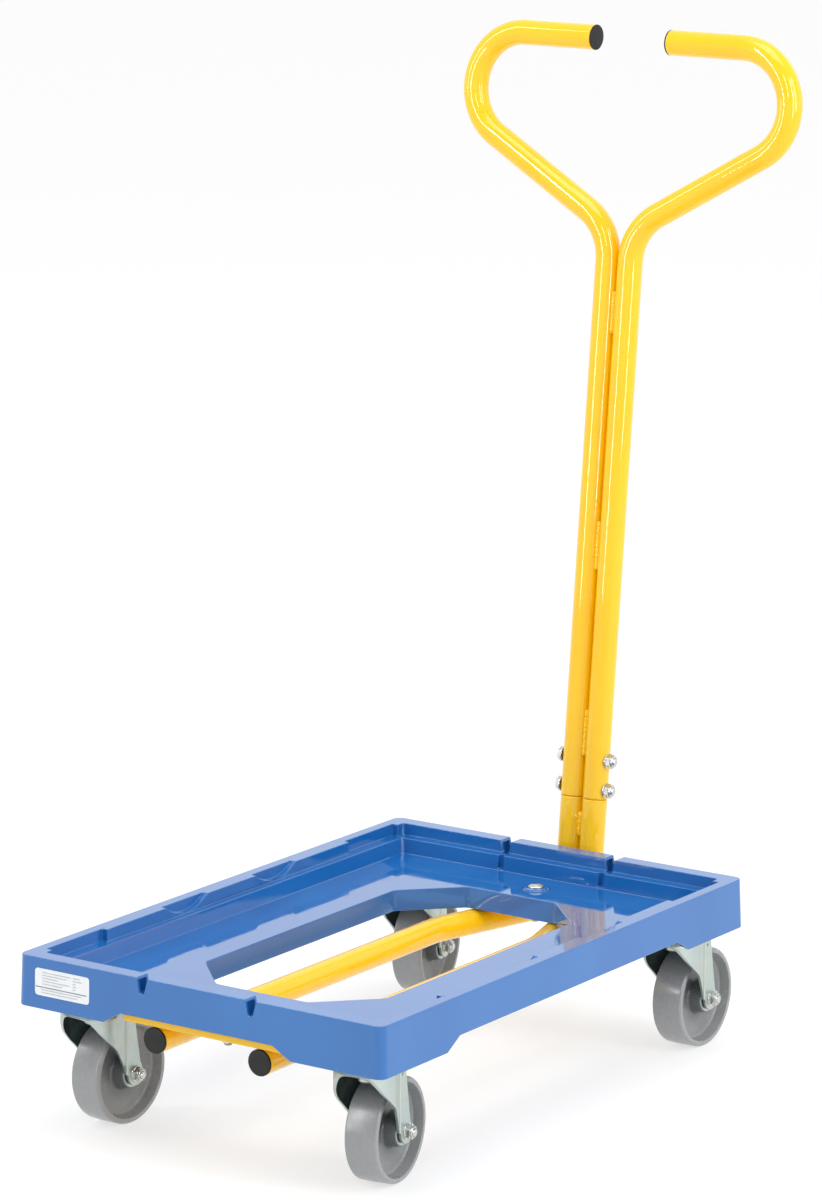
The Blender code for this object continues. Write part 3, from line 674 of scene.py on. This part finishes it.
def skirt_cutters():
    """Four wedges that raise the skirt between the castors."""
    foot = SKIRT_BOTTOM - MARGIN
    ramp = SHALLOW_RAMP * (SHALLOW_BOTTOM - foot) / (SHALLOW_BOTTOM - SKIRT_BOTTOM)
    half = SKIRT_CUT_DEPTH / 2
    cutters = []
    for half_run, out, turn in ((SHALLOW_X, HALF_Y, 0.0), (SHALLOW_Y, HALF_X, math.pi / 2)):
        outline = ((-half_run - ramp, foot), (half_run + ramp, foot),
                   (half_run, SHALLOW_BOTTOM), (-half_run, SHALLOW_BOTTOM))
        spin = Matrix.Rotation(turn, 4, "Z")
        for side in (-1, 1):
            shift = Matrix.Translation((0.0, side * out, 0.0))
            cutters.append(prism(outline, -half, half, spin @ shift @ STAND_UP))
    return cutters


def end_cutters():
    """Tie-down notches, which open into the hollow of the end rims, and the upright slots below them."""
    slope = (NOTCH_TOP - NOTCH_FOOT) / 2 / NOTCH_DEPTH
    top = NOTCH_TOP / 2 + slope * MARGIN
    outline = ((-NOTCH_FOOT / 2, RIM_TOP - NOTCH_DEPTH), (NOTCH_FOOT / 2, RIM_TOP - NOTCH_DEPTH),
               (top, RIM_TOP + MARGIN), (-top, RIM_TOP + MARGIN))
    wall_y = HALF_Y - RIM_END - LEDGE_END
    half_x, half_y = NOTCH_HOLLOW
    cutters = []
    for side in (-1, 1):
        for end in (-1, 1):
            middle_x, middle_y = side * NOTCH_X, end * (HALF_Y - RIM_END / 2)
            place = Matrix.Translation((middle_x, middle_y, 0.0)) @ STAND_UP
            cutters.append(prism(outline, -RIM_END / 2 - MARGIN, RIM_END / 2 + MARGIN, place))
            cutters.append(block((middle_x - half_x, middle_y - half_y, RIM_TOP - NOTCH_DEPTH - 0.002),
                                 (middle_x + half_x, middle_y + half_y, RIM_TOP - TRAY_WALL)))
            y_low, y_high = sorted((end * (wall_y - MARGIN), end * (wall_y + SLOT_DEPTH)))
            x = side * SLOT_X
            cutters.append(block((x - SLOT_WIDTH / 2, y_low, FLOOR_TOP + 0.0015),
                                 (x + SLOT_WIDTH / 2, y_high, LEDGE_Z + MARGIN)))
    return cutters


def tray_mesh():
    body = loft([level(rectangle(HALF_X + SKIRT_DRAFT, HALF_Y + SKIRT_DRAFT, TRAY_CORNER), SKIRT_BOTTOM),
                 level(rectangle(HALF_X, HALF_Y, TRAY_CORNER), RIM_TOP)])
    ledge_x, ledge_y = HALF_X - RIM_SIDE - LEDGE_SIDE, HALF_Y - RIM_END - LEDGE_END
    upper = prism(rim_opening(), LEDGE_Z, RIM_TOP + MARGIN)
    lower = loft([level(rectangle(ledge_x - FLOOR_DRAFT, ledge_y - FLOOR_DRAFT, INNER_CORNER), FLOOR_TOP),
                  level(rectangle(ledge_x, ledge_y, INNER_CORNER), LEDGE_Z),
                  level(rectangle(ledge_x, ledge_y, INNER_CORNER), LEDGE_Z + MARGIN)])
    hole = prism(window(0.0), SKIRT_BOTTOM - MARGIN, FLOOR_TOP + MARGIN)
    hollow = prism(rectangle(HALF_X - TRAY_WALL, HALF_Y - TRAY_WALL, TRAY_CORNER - TRAY_WALL),
                   SKIRT_BOTTOM - MARGIN, FLOOR_TOP - TRAY_WALL)
    kept = prism(window(TRAY_WALL), SKIRT_BOTTOM - 2 * MARGIN, FLOOR_TOP)
    hollow = combine(hollow, "DIFFERENCE", [kept])
    tools = [upper, lower, hole, hollow, *recess_cutters(), *end_cutters(), *skirt_cutters()]
    return soften(combine(body, "DIFFERENCE", tools), EDGE)


def boss_mesh():
    fillet_end = BOSS_RADIUS + 0.002
    profile = eased(((0.0, BOSS_HEIGHT), (BOSS_RADIUS, BOSS_HEIGHT), (BOSS_RADIUS, 0.0), (fillet_end, 0.0)),
                    (0.0, 0.0010, 0.0015, 0.0))
    return lathe([*profile, (BOSS_RADIUS, -0.001), (0.0, -0.001)], 64)


def mark_mesh():
    """A moulding mark: a low round pip."""
    radius, height = 0.0014, 0.0004
    return lathe(((0.0, height), (radius * 0.6, height * 0.8), (radius, 0.0), (0.0, -height)), 20)


def rib_meshes():
    """Ribs and castor pads under the floor."""
    low, high = SHALLOW_BOTTOM + 0.001, FLOOR_TOP - TRAY_WALL + 0.0004
    inner_x, outer_x = WINDOW_X + TRAY_WALL, HALF_X - TRAY_WALL
    ribs = []
    for side in (-1, 1):
        for step in range(-4, 5):
            y = step * RIB_PITCH
            x_low, x_high = sorted((side * inner_x, side * outer_x))
            ribs.append(block((x_low, y - RIB_HALF, low), (x_high, y + RIB_HALF, high)))
    for name in CASTOR_NAMES:
        x, y = JOINTS["castor_swivel_" + name]["pos_m"][:2]
        y -= CART[1]
        pad = PLATE_HALF - 0.001
        ribs.append(block((x - pad, y - pad, PLATE_TOP + SEAT_GAP), (x + pad, y + pad, high)))
    return ribs


def joined(meshes):
    bm = bmesh.new()
    for mesh in meshes:
        bm.from_mesh(mesh)
    return from_bmesh(bm)


def label_place():
    """The frame of the label: x along it, y up it, z out of the front skirt."""
    low, high = (Vector(corner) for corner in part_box("data_label"))
    tilt = math.atan2(SKIRT_DRAFT, RIM_TOP - SKIRT_BOTTOM)
    middle_z = (low.z + high.z) / 2
    skirt_y = -HALF_Y - (RIM_TOP - middle_z) * math.tan(tilt)
    centre = Vector(((low.x + high.x) / 2, CART[1] + skirt_y, middle_z))
    place = Matrix.Translation(centre) @ Matrix.Rotation(-tilt, 4, "X") @ STAND_UP
    return place, high.x - low.x, high.z - low.z


def build_label():
    place, width, height = label_place()
    film = prism(rectangle(width / 2, height / 2, LABEL_CORNER), 0.0001, 0.0005)
    add("label_film", film, FILM, stands_for=("data_label",), place=place)

    def bar(left, y, length, half_height):
        """A raised bar, placed and measured in shares of the label's width and height."""
        x, y = left * width, y * height
        return block((x, y - half_height, 0.0004), (x + length * width, y + half_height, 0.00075))

    rows = ((0.52, 0.13), (0.44, 0.16), (0.30, 0.05), (0.50, 0.06), (0.36, 0.05))
    bars = []
    for row, (left_length, right_length) in enumerate(rows):
        y = 0.36 - 0.105 * row
        bars += [bar(-0.36, y, left_length, 0.00035), bar(0.20, y, right_length, 0.00035)]
    bars += [bar(-0.38, -0.28, 0.74, 0.0003), bar(-0.38, -0.38, 0.66, 0.0003)]
    add("label_bars", joined(bars), INK, place=place)
    add("label_rule", bar(-0.49, -0.185, 0.945, 0.0003), RULE, place=place)


def build_tray():
    add("tray_moulding", tray_mesh(), BLUE, stands_for=("tray",))
    add("tray_ribs", joined(rib_meshes()), BLUE)
    for end, y in CROSSBAR_Y.items():
        place = Matrix.Translation((CROSSBAR_BOLT_X, CART[1] + y, FLOOR_TOP))
        add("floor_boss_" + end, boss_mesh(), BLUE, place=place)
    rim_x = HALF_X - RIM_SIDE_SLIM + 0.0005
    for index, (side, y) in enumerate((s, y) for s in (-1, 1) for y in RIM_MARKS_Y):
        place = Matrix.Translation((side * rim_x, CART[1] + y, RIM_TOP))
        add(f"rim_mark_{index}", mark_mesh(), BLUE, place=place)
    for index, (side, y) in enumerate((s, y) for s in (-1, 1) for y in SKIRT_MARKS_Y):
        turn = TURN_TO_X if side < 0 else TURN_TO_MINUS_X
        place = Matrix.Translation((side * WINDOW_X, CART[1] + y, SKIRT_MARK_Z)) @ turn
        add(f"skirt_mark_{index}", mark_mesh(), BLUE, place=place)
    build_label()


# ---------------------------------------------------------------- rails and handle
def on_post(x, along, forward=0.0):
    """A point at a length along the leaning post, moved square to it towards the front."""
    lean = Vector((0.0, math.sin(POST_LEAN), math.cos(POST_LEAN)))
    front = Vector((0.0, -math.cos(POST_LEAN), math.sin(POST_LEAN)))
    return Vector((x, POST_FOOT_Y, 0.0)) + lean * along + front * forward


def rail_path(side):
    foot_y = POST_FOOT_Y + RAIL_Z * math.tan(POST_LEAN)
    corners = ((side * RAIL_X, RAIL_FRONT_Y, RAIL_Z), (side * RAIL_X, RAIL_BEND_Y, RAIL_Z),
               (side * TUBE_X, foot_y, RAIL_Z), on_post(side * TUBE_X, JOINT_S - JOINT_GAP))
    return rounded_path(corners, (RAIL_BEND_RADIUS, POST_BEND_RADIUS))


def handle_path(side):
    turn = math.pi - HANDLE_DIAGONAL
    corner_x = HANDLE_HALF_WIDTH - HANDLE_LOOP_RADIUS + HANDLE_LOOP_RADIUS * math.tan(turn / 2)
    split_s = HANDLE_TOP_S - (corner_x - TUBE_X) * math.tan(HANDLE_DIAGONAL)
    corners = (on_post(side * TUBE_X, JOINT_S + JOINT_GAP), on_post(side * TUBE_X, split_s),
               on_post(side * corner_x, HANDLE_TOP_S), on_post(side * GRIP_END_X, HANDLE_TOP_S))
    return rounded_path(corners, (HANDLE_LOOP_RADIUS, HANDLE_LOOP_RADIUS))


def weld_mesh(start, end, forward):
    """A painted weld bead in the crease between the tubes: uneven lumps that taper at both ends."""
    pitch = 0.0006
    count = round((end - start) / pitch)
    path = [on_post(0.0, start + (end - start) * step / count, forward) for step in range(count + 1)]

    def radius_at(index, angle):
        along = start + (end - start) * index / count
        ends = min(1.0, math.sqrt(max(0.02, min(index, count - index) / 5)))
        lump = noise.noise(Vector((0.0, forward * 1000.0, along * 420.0)))
        pit = noise.noise(Vector((math.cos(angle), math.sin(angle), along * 900.0)))
        return WELD_RADIUS * ends * (0.92 + 0.24 * lump + 0.10 * pit)

    return sweep(path, radius_at, 18)


def cap_mesh(thickness):
    """The plug in the end of a tube: what shows of it is a low disc with an eased edge."""
    rim = thickness * 0.9
    profile = eased(((0.0, thickness), (TUBE_RADIUS, rim), (TUBE_RADIUS, SEAT_GAP), (0.0, SEAT_GAP)),
                    (0.0, thickness * 0.4, 0.0002, 0.0))
    return lathe(profile, 48)


def build_frame():
    for name, side in (("left", -1), ("right", 1)):
        add("rail_tube_" + name, tube(rail_path(side)), YELLOW, stands_for=("rail_" + name,))
        add("handle_bend_" + name, tube(handle_path(side)), YELLOW,
            stands_for=("handle_tube_" + name, "spigot_" + name))
        place = Matrix.Translation(Vector(CART) + Vector((side * RAIL_X, RAIL_FRONT_Y, RAIL_Z)))
        add("rail_plug_" + name, cap_mesh(CAP_THICKNESS["rail"]), CAP, stands_for=("rail_cap_" + name,),
            place=place @ TURN_TO_MINUS_Y)
        inward = TURN_TO_MINUS_X if side > 0 else TURN_TO_X
        place = Matrix.Translation(Vector(CART) + on_post(side * GRIP_END_X, HANDLE_TOP_S)) @ inward
        cap = cap_mesh(CAP_THICKNESS["grip"])
        add("grip_plug_" + name, cap, CAP, stands_for=("grip_cap_" + name,), place=place)
    for index, (start, end) in enumerate(WELDS_S):
        for face, forward in (("front", WELD_OFFSET), ("back", -WELD_OFFSET)):
            add(f"weld_{face}_{index}", weld_mesh(start, end, forward), YELLOW)
    for end in CROSSBAR_Y:
        low, high = (Vector(corner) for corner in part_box("crossbar_" + end))
        outline = eased_all(((high.x, low.y), (high.x, high.y), (low.x, high.y), (low.x, low.y)), 0.004)
        bar = soften(prism(outline, low.z, high.z), 0.0006, 2)
        add("crossbar_flat_" + end, bar, YELLOW, stands_for=("crossbar_" + end,), place=Matrix.Identity(4))


# ---------------------------------------------------------------- fasteners
def chamfered_hexagon(low, high, both=False):
    """A hexagon along Z whose corners are turned off at the top, or at both ends."""
    corner = HEX_FLATS / math.sqrt(3.0)
    outline = [(corner * math.cos(math.pi * k / 3), corner * math.sin(math.pi * k / 3)) for k in range(6)]
    flat, out, drop = HEX_FLATS / 2, corner + 0.0002, HEX_CHAMFER
    start = [(0.0, low), (out, low)]
    if both:
        start = [(0.0, low), (flat, low), (out, low + drop)]
    cone = lathe([*start, (out, high - drop), (flat, high), (0.0, high)], 48)
    return soften(combine(prism(outline, low - 0.001, high + 0.001), "INTERSECT", [cone]), 0.00025, 2)


def thread_profile(low, high):
    """Ridges up a bolt's end, from low to a chamfered tip at high."""
    root, tip = BOLT_RADIUS - THREAD_DEPTH, high - 0.0004
    points = []
    height = low
    while height + THREAD_PITCH < tip:
        points += [(root, height), (BOLT_RADIUS, height + THREAD_PITCH / 2)]
        height += THREAD_PITCH
    return [*points, (root, tip), (root - THREAD_DEPTH, high), (0.0, high)]


def lock_nut_mesh():
    """Flange, hexagon and the round collar with its insert, seated at z = 0."""
    flange = lathe(eased(((0.0, 0.0), (NUT_FLANGE, 0.0), (NUT_FLANGE, 0.0008), (0.0060, 0.0014),
                          (0.0, 0.0014)), (0.0, 0.0002, 0.0003, 0.0, 0.0)), 48)
    body = chamfered_hexagon(0.0009, 0.0056, both=True)
    foot, pit = 0.0050, HEX_NUT - 0.0008
    collar = lathe(eased(((0.0, foot), (NUT_COLLAR, foot), (NUT_COLLAR - 0.0002, HEX_NUT),
                          (NUT_INSERT, HEX_NUT), (NUT_INSERT, pit), (0.0, pit)),
                         (0.0, 0.0, 0.0009, 0.0003, 0.0, 0.0)), 48)
    return flange, body, collar


def bolt_end_mesh(reach):
    """The threaded end of a bolt, which stands out of its nut by the reach."""
    return lathe([(0.0, HEX_NUT - 0.002), (BOLT_RADIUS, HEX_NUT - 0.002),
                  *thread_profile(HEX_NUT - 0.0015, HEX_NUT + reach)], 32)


def bolt_head_mesh():
    """A hexagon head standing up from z = 0, on a round washer face."""
    washer = lathe(eased(((0.0, 0.0), (WASHER_RADIUS, 0.0), (WASHER_RADIUS, WASHER), (0.0, WASHER)),
                         (0.0, 0.0003, 0.0003, 0.0)), 48)
    return washer, chamfered_hexagon(0.0010, HEX_HEAD)


def floor_bolt_mesh():
    """The low round head of a bolt through the tray floor."""
    return lathe(eased(((0.0, 0.0033), (0.0045, 0.0032), (0.0078, 0.0014), (0.0078, 0.0002), (0.0, 0.0002)),
                       (0.0, 0.004, 0.0007, 0.0002, 0.0)), 48)


def smooth_joined(meshes):
    return smooth_by_weight(joined(meshes))


def build_through_bolt(name, body, stands_for, middle, half, reach):
    """A bolt along the X of a frame: its head at -X and its nut at +X, each seated half from the middle."""
    head = smooth_joined(bolt_head_mesh())
    nut = smooth_joined(lock_nut_mesh())
    bolt_node, nut_node = stands_for
    head_seat = middle @ Matrix.Translation((-half, 0, 0)) @ TURN_TO_MINUS_X
    add(name + "_head", head, FASTENER, body, (bolt_node,), head_seat)
    seat = middle @ Matrix.Translation((half, 0, 0)) @ TURN_TO_X
    add(name + "_nut", nut, FASTENER, body, (nut_node,), seat)
    add(name + "_thread", bolt_end_mesh(reach), FASTENER, body, place=seat)


def build_fasteners():
    half = TUBE_X + TUBE_RADIUS
    for name, along in BOLT_S.items():
        middle = Matrix.Translation(Vector(CART) + on_post(0.0, along)) @ Matrix.Rotation(-POST_LEAN, 4, "X")
        nodes = ("handle_bolt_" + name, "handle_nut_" + name)
        build_through_bolt("handle_fixing_" + name, BODY, nodes, middle, half, HANDLE_BOLT_REACH)
    for end, y in CROSSBAR_Y.items():
        seat = Matrix.Translation((CROSSBAR_BOLT_X, CART[1] + y, FLOOR_TOP + BOSS_HEIGHT))
        add("floor_bolt_" + end, floor_bolt_mesh(), FASTENER,
            stands_for=("crossbar_bolt_" + end,), place=seat)
        under = Matrix.Translation((CROSSBAR_BOLT_X, CART[1] + y, RAIL_Z + TUBE_RADIUS))
        flip = under @ FLIP
        add("floor_nut_" + end, smooth_joined(lock_nut_mesh()), FASTENER,
            stands_for=("crossbar_nut_" + end,), place=flip)
        add("floor_thread_" + end, bolt_end_mesh(FLOOR_BOLT_REACH), FASTENER, place=flip)


# ---------------------------------------------------------------- castors
def fork_ring(inset, height):
    """Plan of the fork: a round nose, sides that close in on the hub, and a raised strip past the crease."""
    nose = CROWN_RADIUS - inset
    half = LEG_HALF - inset
    angles = [math.pi * (step / 36 - 1) for step in range(37)]
    arc = [(nose * math.cos(angle), nose * math.sin(angle)) for angle in angles]
    right = [(half - LEG_STEP, LEG_CREASE[0]), (half, LEG_CREASE[1]), (half, FORK_REACH)]
    left = [(-x, y) for x, y in reversed(right)]
    return level(arc + right + left, height)


def fork_solid(inset):
    """The pressing as a solid block with a rounded top edge, moved in all round by the inset."""
    shoulder = CROWN_SHOULDER - inset
    top = CROWN_TOP - inset
    rings = [fork_ring(inset, FORK_FOOT)]
    for step in range(9):
        angle = math.pi / 2 * step / 8
        step_in = shoulder * (1 - math.cos(angle))
        step_down = shoulder * (1 - math.sin(angle))
        rings.append(fork_ring(inset + step_in, top - step_down))
    return loft(rings)


def fork_side():
    """The side outline of the fork, as a block right across it."""
    angles = [math.pi * step / 16 for step in range(17)]
    foot = [(TRAIL + LEG_FOOT_RADIUS * math.cos(angle), WHEEL_RADIUS - LEG_FOOT_RADIUS * math.sin(angle))
            for angle in angles]
    front = smooth_run((foot[-1], *LEG_FRONT_EDGE, (-CROWN_RADIUS - 0.001, FORK_LIP_BOTTOM)))
    top = CROWN_TOP + MARGIN
    back = smooth_run((*LEG_BACK_EDGE, foot[0]))
    outline = foot + front[1:] + [(-CROWN_RADIUS - 0.001, top), (FORK_CROWN_BACK, top)] + back[:-1]
    return prism(outline, -0.05, 0.05, SIDE_ON)


def faces_inward(face):
    """True for a face on the inner side of the fork's sheet, which gets the painted shade."""
    outward = Vector((face.center.x, min(face.center.y, 0.0), 0.0)).normalized()
    ceiling = face.normal.z < -0.5 and face.center.z > FORK_LIP_BOTTOM + 0.0005
    return ceiling or face.normal.dot(outward) < -0.5


def fork_mesh():
    hollow = fork_solid(SHEET)
    for vertex in hollow.vertices:
        if vertex.co.y > FORK_REACH - MARGIN:
            vertex.co.y += MARGIN
    shell = combine(fork_solid(0.0), "DIFFERENCE", [hollow])
    cut = combine(shell, "INTERSECT", [fork_side()])
    hole = lathe(((0.0, -0.05), (FORK_HOLE_RADIUS, -0.05), (FORK_HOLE_RADIUS, 0.05), (0.0, 0.05)), 16)
    hole.transform(Matrix.Translation((0.0, *FORK_HOLE)) @ TURN_TO_X)
    mesh = soften(combine(cut, "DIFFERENCE", [hole]), 0.0004, 2)
    # Faces inside the fork take the second slot, the zinc with painted shade.
    for face in mesh.polygons:
        face.material_index = 1 if faces_inward(face) else 0
    return mesh


def wheel_mesh():
    """Crowned tread, thick rounded rims, dished sides and a long hub. It is turned about Z."""
    web_start, web_end = WEB_RADII
    half = eased(((WHEEL_BORE, HUB_HALF_LENGTH), (HUB_RADIUS, HUB_HALF_LENGTH), (web_start, WEB_HALF),
                  (web_end, WEB_HALF), (RIM_INNER, WHEEL_HALF_WIDTH),
                  (WHEEL_RADIUS - 0.0003, WHEEL_HALF_WIDTH - 0.0001), (WHEEL_RADIUS, 0.0)),
                 (0.0, 0.0012, 0.0030, 0.0028, 0.0010, 0.0024, 0.0), step=math.radians(12.0))
    profile = half + [(radius, -height) for radius, height in reversed(half[:-1])]
    return lathe(profile, WHEEL_STEPS, loop=True)


def hub_ring_mesh():
    """The pale bearing ring at each end of the hub."""
    low, high = HUB_HALF_LENGTH - 0.001, HUB_HALF_LENGTH + RING_STAND
    inner, outer = RING_RADII
    rings = []
    for turn in (Matrix.Identity(4), FLIP):
        ring = lathe(eased(((inner, low), (inner, high), (outer, high), (outer, low)),
                           (0.0, 0.0002, 0.0005, 0.0)), 48, loop=True)
        ring.transform(turn)
        rings.append(ring)
    return smooth_joined(rings)


def bush_mesh():
    """A sleeve in the hub, with a flange at each end."""
    bore = BOLT_RADIUS + SEAT_GAP
    sleeve, flange = BUSH_RADII
    face, back = BUSH_HALF_LENGTH, BUSH_HALF_LENGTH - BUSH_FLANGE
    end = [(bore, face), (flange, face), (flange, back), (sleeve, back)]
    return lathe(end + [(radius, -height) for radius, height in reversed(end)], 48, loop=True)


def plate_mesh():
    outline = rectangle(PLATE_HALF, PLATE_HALF, PLATE_CORNER)
    return soften(prism(outline, PLATE_TOP - PLATE_THICKNESS, PLATE_TOP), 0.0004, 2)


def race_mesh():
    """Two pressed races, one on another, with the dark gap of the balls between them."""
    top, bottom = PLATE_TOP - PLATE_THICKNESS, CROWN_TOP
    middle = (top + bottom) / 2
    profile = eased(((0.006, top), (0.0275, top), (0.0280, middle + 0.0006), (0.0250, middle + 0.0004),
                     (0.0250, middle - 0.0004), (0.0272, middle - 0.0006), (0.0262, bottom), (0.006, bottom)),
                    (0.0, 0.0010, 0.0006, 0.0, 0.0, 0.0006, 0.0010, 0.0))
    return lathe(profile, 64, loop=True)


def kingpin_mesh():
    """The round end of the rivet under the crown of the fork."""
    seat, rim, bottom = CROWN_TOP - SHEET, RIVET_BOTTOM + 0.002, RIVET_BOTTOM
    profile = eased(((0.0, seat), (RIVET_RADIUS, seat), (RIVET_RADIUS, rim), (0.0062, bottom), (0.0, bottom)),
                    (0.0, 0.0, 0.0014, 0.0010, 0.0))
    return lathe(profile, 48)


def build_castor(name):
    swivel_joint, wheel_joint = JOINTS["castor_swivel_" + name], JOINTS["wheel_spin_" + name]
    x, y = swivel_joint["pos_m"][:2]
    mount = Matrix.Translation((x, y, 0.0))
    along = wheel_joint["axis"]
    turned = mount @ Matrix.Rotation(math.atan2(along[1], along[0]), 4, "Z")
    axle = turned @ Matrix.Translation((0.0, TRAIL, WHEEL_RADIUS))
    swivel, wheel = "swivel_" + name, "wheel_body_" + name

    add("top_plate_" + name, plate_mesh(), ZINC, stands_for=("castor_plate_" + name,), place=mount)
    add("ball_race_" + name, race_mesh(), ZINC, stands_for=("bearing_race_" + name,), place=mount)
    add("rivet_" + name, kingpin_mesh(), ZINC, stands_for=("kingpin_" + name,), place=mount)
    for index, (side, end) in enumerate(((-1, -1), (1, -1), (-1, 1), (1, 1))):
        spot = Matrix.Translation((side * PLATE_BOLT, end * PLATE_BOLT, PLATE_TOP - PLATE_THICKNESS))
        head = chamfered_hexagon(0.0, PLATE_BOLT_HEAD)
        add(f"plate_bolt_{name}_{index}", head, FASTENER, place=mount @ spot @ FLIP)

    fork = add("fork_sheet_" + name, fork_mesh(), ZINC, swivel, ("fork_" + name,), turned)
    # The second slot is dark zinc that paints the shade inside the fork.
    fork.data.materials.append(ZINC_PAINTED_SHADE.material)
    nodes = ("axle_bolt_" + name, "axle_nut_" + name)
    build_through_bolt("axle_fixing_" + name, swivel, nodes, axle, LEG_HALF, AXLE_BOLT_REACH)
    add("bush_" + name, bush_mesh(), ZINC, swivel, ("axle_bush_" + name,), axle @ TURN_TO_X)
    add("wheel_moulding_" + name, wheel_mesh(), WHEEL, wheel, ("wheel_" + name,), axle @ TURN_TO_X)
    add("hub_ring_" + name, hub_ring_mesh(), ZINC, wheel, place=axle @ TURN_TO_X)


# ---------------------------------------------------------------- studio
def build_floor():
    floor_mesh = prism(((-30, -30), (30, -30), (30, 30), (-30, 30)), -0.02, 0.0)
    floor = bpy.data.objects.new("studio_floor", floor_mesh)
    bpy.context.scene.collection.objects.link(floor)
    material = bpy.data.materials.new("studio_floor_look")
    material.use_nodes = True
    shader = material.node_tree.nodes["Principled BSDF"]
    shader.inputs["Base Color"].default_value = (0.42, 0.42, 0.42, 1.0)
    shader.inputs["Roughness"].default_value = 0.9
    shader.inputs["Specular IOR Level"].default_value = 0.1
    shader.inputs["Emission Color"].default_value = (1.0, 1.0, 1.0, 1.0)
    shader.inputs["Emission Strength"].default_value = 0.60
    floor_mesh.materials.append(material)


def build_world():
    """A white surround, dimmer in front of the cart than behind it, and full white near the horizon."""
    world = bpy.context.scene.world or bpy.data.worlds.new("studio")
    bpy.context.scene.world = world
    world.use_nodes = True
    tree = world.node_tree
    background = tree.nodes["Background"]
    background.inputs["Color"].default_value = (1.0, 1.0, 1.0, 1.0)
    direction = tree.nodes.new("ShaderNodeTexCoord").outputs["Generated"]
    split = tree.nodes.new("ShaderNodeSeparateXYZ")
    tree.links.new(direction, split.inputs["Vector"])
    strength = tree.nodes.new("ShaderNodeMath")
    strength.operation = "MAXIMUM"
    ramps = (("Y", -0.8, 0.8, 0.56, 1.10), ("Z", 0.12, 0.22, 1.04, 0.56))
    for socket, (axis, start, end, low, high) in zip(strength.inputs, ramps):
        ramp = tree.nodes.new("ShaderNodeMapRange")
        ramp.inputs["From Min"].default_value = start
        ramp.inputs["From Max"].default_value = end
        ramp.inputs["To Min"].default_value = low
        ramp.inputs["To Max"].default_value = high
        tree.links.new(split.outputs[axis], ramp.inputs["Value"])
        tree.links.new(ramp.outputs["Result"], socket)
    tree.links.new(strength.outputs["Value"], background.inputs["Strength"])


def build_light():
    panels = (                        # place, width, height, watts, seen only in reflections
        ((-2.2, -1.4, 1.9), 0.3, 2.4, 22.0, False),
        ((3.2, 0.2, 1.9), 0.9, 2.6, 40.0, False),
        ((1.5, -3.2, 2.6), 0.25, 1.6, 22.0, False),
        ((0.4, -0.4, 4.2), 2.4, 2.4, 50.0, False),
        ((-1.2, -2.8, 1.6), 0.20, 2.8, 52.0, True),
        ((2.9, -1.0, 1.6), 0.20, 2.8, 44.0, True),
    )
    for index, (place, width, height, watts, streak) in enumerate(panels):
        data = bpy.data.lights.new(f"panel_{index}", "AREA")
        data.shape = "RECTANGLE"
        data.size, data.size_y = width, height
        data.energy = watts
        panel = bpy.data.objects.new(data.name, data)
        panel.visible_diffuse = not streak
        panel.location = place
        panel.rotation_euler = (Vector((0.0, 0.0, 0.35)) - Vector(place)).to_track_quat("-Z", "Y").to_euler()
        bpy.context.scene.collection.objects.link(panel)


def build_camera():
    """A long lens, a little above the tray and to its right."""
    azimuth, elevation, roll = math.radians(34.89), math.radians(12.21), math.radians(0.05)
    data = bpy.data.cameras.new("camera")
    data.lens = 155.1
    camera = bpy.data.objects.new("camera", data)
    bpy.context.scene.collection.objects.link(camera)
    turn = Matrix.Rotation(azimuth, 4, "Z") @ Matrix.Rotation(math.pi / 2 - elevation, 4, "X")
    camera.matrix_world = Matrix.Translation((2.7488, -3.9684, 1.5172)) @ turn @ Matrix.Rotation(roll, 4, "Z")
    bpy.context.scene.camera = camera
    bpy.context.scene.view_settings.view_transform = "Standard"


build_tray()
build_frame()
build_fasteners()
for castor_name in CASTOR_NAMES:
    build_castor(castor_name)
build_floor()
build_world()
build_light()
build_camera()
